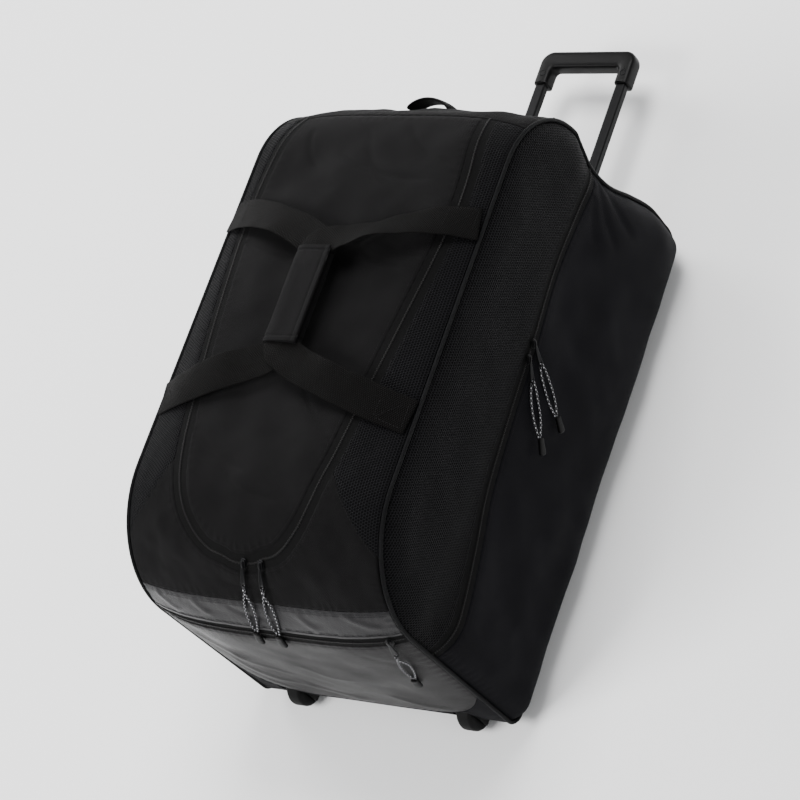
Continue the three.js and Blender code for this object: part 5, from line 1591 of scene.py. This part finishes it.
def padded_wrap():
    """The padded wrap: a quilted band whose bound ends are thicker, carried along a spiral round
    the straps, so that its free edge stands a little off the layer under it."""
    share = np.linspace(0, 1, 150)
    angle = WRAP_START - share * WRAP_TURN
    last_turn, free_edge = (np.clip((share - start) / (1 - start), 0, 1)
                            for start in (WRAP_LAST_TURN, WRAP_FREE_EDGE))
    rise = WRAP_PAD * last_turn**1.5 + WRAP_EDGE_LIFT * free_edge**2
    spiral = np.stack([np.sign(v) * np.abs(v) ** power
                       for v, power in ((np.cos(angle), 0.6), (np.sin(angle), 0.75))], axis=1)
    half = np.array([WEBBING / 2 + WRAP_SIDE_ROOM, WRAP_BORE / 2]) + WRAP_PAD / 2 + 0.2
    line = spiral * (half + rise[:, None])
    step = unit(np.gradient(line, axis=0))
    off = np.stack([-step[:, 1], step[:, 0]], axis=1)
    off *= np.sign((off * line).sum(axis=1))[:, None]
    columns = ring_section(112, 0.25)
    wide = WRAP_LENGTH / 2 * columns[:, 0]
    length = running_length(line)
    ends = binding(WRAP_LENGTH / 2 - np.abs(wide), 0.7, 0.8)
    rim = binding((1 - share) * length[-1], 0.6, 0.6)
    folds = 0.5 * soft_noise(grid(length, wide), 101, 46)
    close = np.sqrt(np.clip(np.minimum(share, 1 - share) / 0.006, 0.02, 1))[:, None]
    outside = np.clip(columns[:, 1], 0, 1)
    out = (WRAP_PAD / 2 + (ends + rim[:, None] + folds) * outside) * close * columns[:, 1]
    flat = line[:, None] + off[:, None] * out[..., None]
    y = WRAP_MIDDLE + wide * (0.985 + 0.015 * close)
    points = np.stack([flat[..., 0], y - FRAME_SHIFT, flat[..., 1] + WRAP_LEVEL], axis=-1)
    return points, grid(length, np.append(wide, wide[0]))


def grab_loop():
    """The grab handle: a thick band that arches off the handle end with the sine of its length,
    and lies flat at both seams."""
    share = np.linspace(0, 1, 60)[:, None]
    inner = CLOTH / 2 + CLEARANCE + (GRAB_RISE - GRAB_THICKNESS) * np.sin(np.pi * share) ** 0.7
    wide, thick = ring_section(28, 0.5).T
    height = inner + GRAB_THICKNESS / 2 + GRAB_THICKNESS / 2 * thick
    station = on_handle_end(GRAB_MIDDLE) + GRAB_WIDTH / 2 * wide
    pattern = grid(share[:, 0] * 90, GRAB_WIDTH / 2 * np.append(wide, 1))
    return band_point(station, (share - 0.5) * GRAB_LENGTH, height), pattern


class KitBagWebbing(bpy.types.Operator):
    """Makes the carrying straps, the padded wrap and the grab handle"""

    bl_idname = "kit_bag.webbing"
    bl_label = "Straps, Wrap and Grab Handle"

    def execute(self, context):
        look = finishes(context)
        for name, side in (("left", -1), ("right", 1)):
            path, roll = strap_path(side)
            out = np.abs(path[:, 0])
            from_wrap, from_seam = (np.clip(away / STRAP_CUP_REACH, 0, 1) for away in (out, STRAP_END - out))
            path += (0, -FRAME_SHIFT, 0)
            piece(f"carrying_strap_{name}", *strap_grid(path, roll, STRAP_CUP * from_wrap * from_seam),
                  look["webbing"], node=f"carry_strap_{name}", slot="webbing")
        pad = piece("padded_wrap", *padded_wrap(), look["panel"], node="grip_wrap", slot="smooth_cloth")
        piece("grab_loop", *grab_loop(), look["webbing"], node="grab_handle", slot="webbing")
        return {"FINISHED"}


# Pull handle and wheels in millimetres
TUBE_SPREAD = 144
GRIP_REACH = 1005
GRIP_WIDTH = 168
GRIP_HEIGHT = 59
GRIP_BAR = 30
GRIP_ARM = 24
GRIP_DEPTH = 26
GRIP_CORNER = 20
GRIP_INNER_CORNER = 7
GRIP_TOP_LEVEL = 84.5
GRIP_LIP_STEP = 10
GRIP_LIP = 2.5
SCREW_RADIUS = 4
WHEEL_RADIUS = 30
WHEEL_WIDTH = 24
WHEEL_ROUND = 5
AXLE_INSET = 12
AXLE_RADIUS = 4

# Screw with its collar: radius, height over the grip
SCREW_ROWS = np.array([
    (5.4, -1.6), (5.4, 0.1), (5.0, 0.5), (4.4, 0.4), (4.1, -0.3), (3.4, -0.5), (2.2, -0.2),
    (1.2, -0.1), (1.1, -1.0), (0.3, -1.0),
])
# Wheel from the bore to the tread: radius, depth under the outer side
WHEEL_ROWS = np.array([(AXLE_RADIUS + CLEARANCE, 3), (11, 3), (12.5, 2.6), (14, 0.6), (15.5, 0)])


def grip_line(half, top, radius):
    """One edge of the grip seen from above: up one arm, round the corner, along the bar and down
    the other arm."""
    start = np.array([-half, GRIP_REACH])
    corner = arc((-half + radius, top - radius), radius, 180, 90, 24)
    arm = np.vstack([start + (corner[0] - start) * np.linspace(0, 1, 14)[:-1, None], corner])
    bar = corner[-1] + (corner[-1] * (-1, 1) - corner[-1]) * np.linspace(0, 1, 30)[1:-1, None]
    return np.vstack([arm, bar, arm[::-1] * (-1, 1)])


class KitBagPullHandle(bpy.types.Operator):
    """Makes the hand grip with its screws"""

    bl_idname = "kit_bag.pull_handle"
    bl_label = "Hand Grip"

    def execute(self, context):
        look = finishes(context)
        half, top = GRIP_WIDTH / 2, GRIP_REACH + GRIP_HEIGHT
        outer = grip_line(half, top, GRIP_CORNER)
        inner = grip_line(half - GRIP_ARM, top - GRIP_BAR, GRIP_INNER_CORNER)
        flat, level = between_lines(outer, inner, GRIP_TOP_LEVEL - GRIP_DEPTH / 2, GRIP_DEPTH, 40, 0.5)
        points = np.stack([flat[..., 0], flat[..., 1] - FRAME_SHIFT, level], axis=-1)

        def lip(ring):
            middle = ring.mean(axis=0)
            return [middle + (ring - middle) * share + (0, out, 0) for share, out in ((0.8, 0), (0.96, 0.6))]
        first, last = lip(points[0]), lip(points[-1])[::-1]
        points[[0, -1], :, 1] += GRIP_LIP
        points = np.vstack([first, points, last])
        piece("hand_grip", points, flat_pattern(len(points), 41, 420, 120), look["plastic"],
              body="handle", node="grip", slot="hard_plastic")
        radius, rise = SCREW_ROWS.T[..., None]
        c, s = circle(28)
        screw = np.stack([radius * c, radius * s, rise + 0 * c], axis=-1)
        seat = GRIP_REACH + GRIP_LIP_STEP + 2 * SCREW_RADIUS - FRAME_SHIFT
        for name, side in (("left", -1), ("right", 1)):
            piece(f"grip_screw_{name}", screw + (side * TUBE_SPREAD / 2, seat, GRIP_TOP_LEVEL),
                  flat_pattern(len(screw), 29, 10, 30), look["metal"], body="handle", slot="slider_metal")
        return {"FINISHED"}


class KitBagWheels(bpy.types.Operator):
    """Makes the smooth wheels"""

    bl_idname = "kit_bag.wheels"
    bl_label = "Wheels"

    def execute(self, context):
        look = finishes(context)
        hub = np.abs(WHEEL_ROWS - (0, WHEEL_WIDTH / 2))
        tread = arc((WHEEL_RADIUS - WHEEL_ROUND, WHEEL_WIDTH / 2 - WHEEL_ROUND), WHEEL_ROUND, 90, 0, 8)
        radius, out = mirrored(np.vstack([hub, tread])).T[..., None]
        c, s = circle(96)
        for name, side in (("left", -1), ("right", 1)):
            points = np.stack([side * WHEEL_TREAD / 2 + out + 0 * c, AXLE_INSET - FRAME_SHIFT + radius * c,
                               WHEEL_RADIUS + radius * s], axis=-1)
            piece(f"smooth_wheel_{name}", points, flat_pattern(len(points) + 1, 97, 90, 188), look["tyre"],
                  (True, True), body=f"wheel_{name}", node=f"wheel_{name}", slot="tyre")
        return {"FINISHED"}


class KitBagHardParts(bpy.types.Operator):
    """Gives the frame's own hard parts their finishes"""

    bl_idname = "kit_bag.hard_parts"
    bl_label = "Finishes of the Hard Parts"

    def execute(self, context):
        look = finishes(context)
        kept = {"plastic": ("wheel_housing_left", "wheel_housing_right", "foot_left", "foot_right",
                            "handle_throat"),
                "tube": ("sleeve_left", "sleeve_right", "tube_left", "tube_right")}
        for finish_name, names in kept.items():
            for obj in (obj for name in names for obj in nodes_of(name)):
                for slot in obj.material_slots:
                    slot.material = look[finish_name]
        return {"FINISHED"}


def nodes_of(name):
    """The frame's objects of one node."""
    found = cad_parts.get(name)
    if found is None:
        raise RuntimeError(f"the frame has no node {name}")
    return found if isinstance(found, (list, tuple)) else [found]


# Camera in metres, seen from the front and above; the lens in millimetres
CAMERA_PLACE = (2.474, -1.62634, 3.322)
CAMERA_RIGHT = (0.809, 0.317, -0.495)
CAMERA_UP = (-0.058, 0.881, 0.470)
CAMERA_BACK = (0.585, -0.352, 0.731)
LENS = 135.3
SENSOR = 36.0
# Lights: place in metres, size, power in watts; all look at the same place of the bag
LIGHTS = {
    "key": ((-1.6, -2.4, 3.2), 1.8, 205.0),
    "fill": ((3.4, -1.0, 2.2), 2.0, 35.0),
    "top": ((0.2, 1.4, 3.4), 1.8, 170.0),
    "back": ((-2.6, 1.6, 1.8), 1.6, 70.0),
}
LIT_PLACE = (0, -0.1, 0.25)
ROOM_COLOUR = (0.93, 0.94, 0.96, 1)
ROOM_LIGHT = 0.55
FLOOR_ROUGHNESS = 0.9
FLOOR_HALF = 9


def put(context, name, data, place, turn):
    """Adds an object of the stage at its place, turned as given."""
    obj = bpy.data.objects.new(name, data)
    obj.matrix_world = Matrix.Translation(place) @ turn.to_matrix().to_4x4()
    context.scene.collection.objects.link(obj)
    return obj


class KitBagStage(bpy.types.Operator):
    """Makes the camera, the pale floor and the soft lights"""

    bl_idname = "kit_bag.stage"
    bl_label = "Camera, Floor and Lights"

    def execute(self, context):
        camera = bpy.data.cameras.new("camera")
        camera.lens, camera.sensor_width = LENS, SENSOR
        turn = Matrix((CAMERA_RIGHT, CAMERA_UP, CAMERA_BACK)).transposed().to_quaternion()
        context.scene.camera = put(context, "camera", camera, CAMERA_PLACE, turn)
        for name, (place, size, power) in LIGHTS.items():
            light = bpy.data.lights.new(name, "AREA")
            light.size, light.energy = size, power
            aim = Vector(LIT_PLACE) - Vector(place)
            put(context, name, light, place, aim.to_track_quat("-Z", "Y"))
        world = bpy.data.worlds.new("pale room")
        world.use_nodes = True
        background = world.node_tree.nodes["Background"]
        background.inputs["Color"].default_value = ROOM_COLOUR
        background.inputs["Strength"].default_value = ROOM_LIGHT
        context.scene.world = world
        floor = bpy.data.materials.new("Pale floor")
        floor.use_nodes = True
        shader = floor.node_tree.nodes["Principled BSDF"]
        shader.inputs["Base Color"].default_value = (*context.scene.kit_bag_colours.floor, 1)
        shader.inputs["Roughness"].default_value = FLOOR_ROUGHNESS
        corners = [(x * FLOOR_HALF, y * FLOOR_HALF, 0) for x, y in ((-1, -1), (1, -1), (1, 1), (-1, 1))]
        mesh = bpy.data.meshes.new("floor")
        mesh.from_pydata(corners, [], [(0, 1, 2, 3)])
        mesh.materials.append(floor)
        ground = bpy.data.objects.new("floor", mesh)
        context.scene.collection.objects.link(ground)
        return {"FINISHED"}


class KitBagPanel(bpy.types.Panel):
    """Lists the bag's sizes, colours and operators"""

    bl_idname = "VIEW3D_PT_kit_bag"
    bl_label = "Wheeled Kit Bag"
    bl_space_type = "VIEW_3D"
    bl_region_type = "UI"
    bl_category = "Kit Bag"

    def draw(self, context):
        for group_name in ("kit_bag_sizes", "kit_bag_colours"):
            settings = getattr(context.scene, group_name)
            for key in settings.__annotations__:
                self.layout.prop(settings, key)
        for operator in OPERATORS:
            self.layout.operator(operator.bl_idname)


OPERATORS = (
    KitBagStage, KitBagPullers, KitBagLid, KitBagTopPanels, KitBagWheelEnd, KitBagHandleEnd, KitBagTray,
    KitBagSides, KitBagStitching, KitBagWebbing, KitBagPullHandle, KitBagWheels, KitBagHardParts,
)
CLASSES = (KitBagSizes, KitBagColours, *OPERATORS, KitBagPanel)


def register():
    for cls in CLASSES:
        bpy.utils.register_class(cls)
    bpy.types.Scene.kit_bag_sizes = PointerProperty(type=KitBagSizes)
    bpy.types.Scene.kit_bag_colours = PointerProperty(type=KitBagColours)


def unregister():
    del bpy.types.Scene.kit_bag_colours
    del bpy.types.Scene.kit_bag_sizes
    for cls in reversed(CLASSES):
        bpy.utils.unregister_class(cls)


def main():
    """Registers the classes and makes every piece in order."""
    register()
    for operator in OPERATORS:
        family, name = operator.bl_idname.split(".")
        getattr(getattr(bpy.ops, family), name)()


if __name__ == "__main__":
    main()
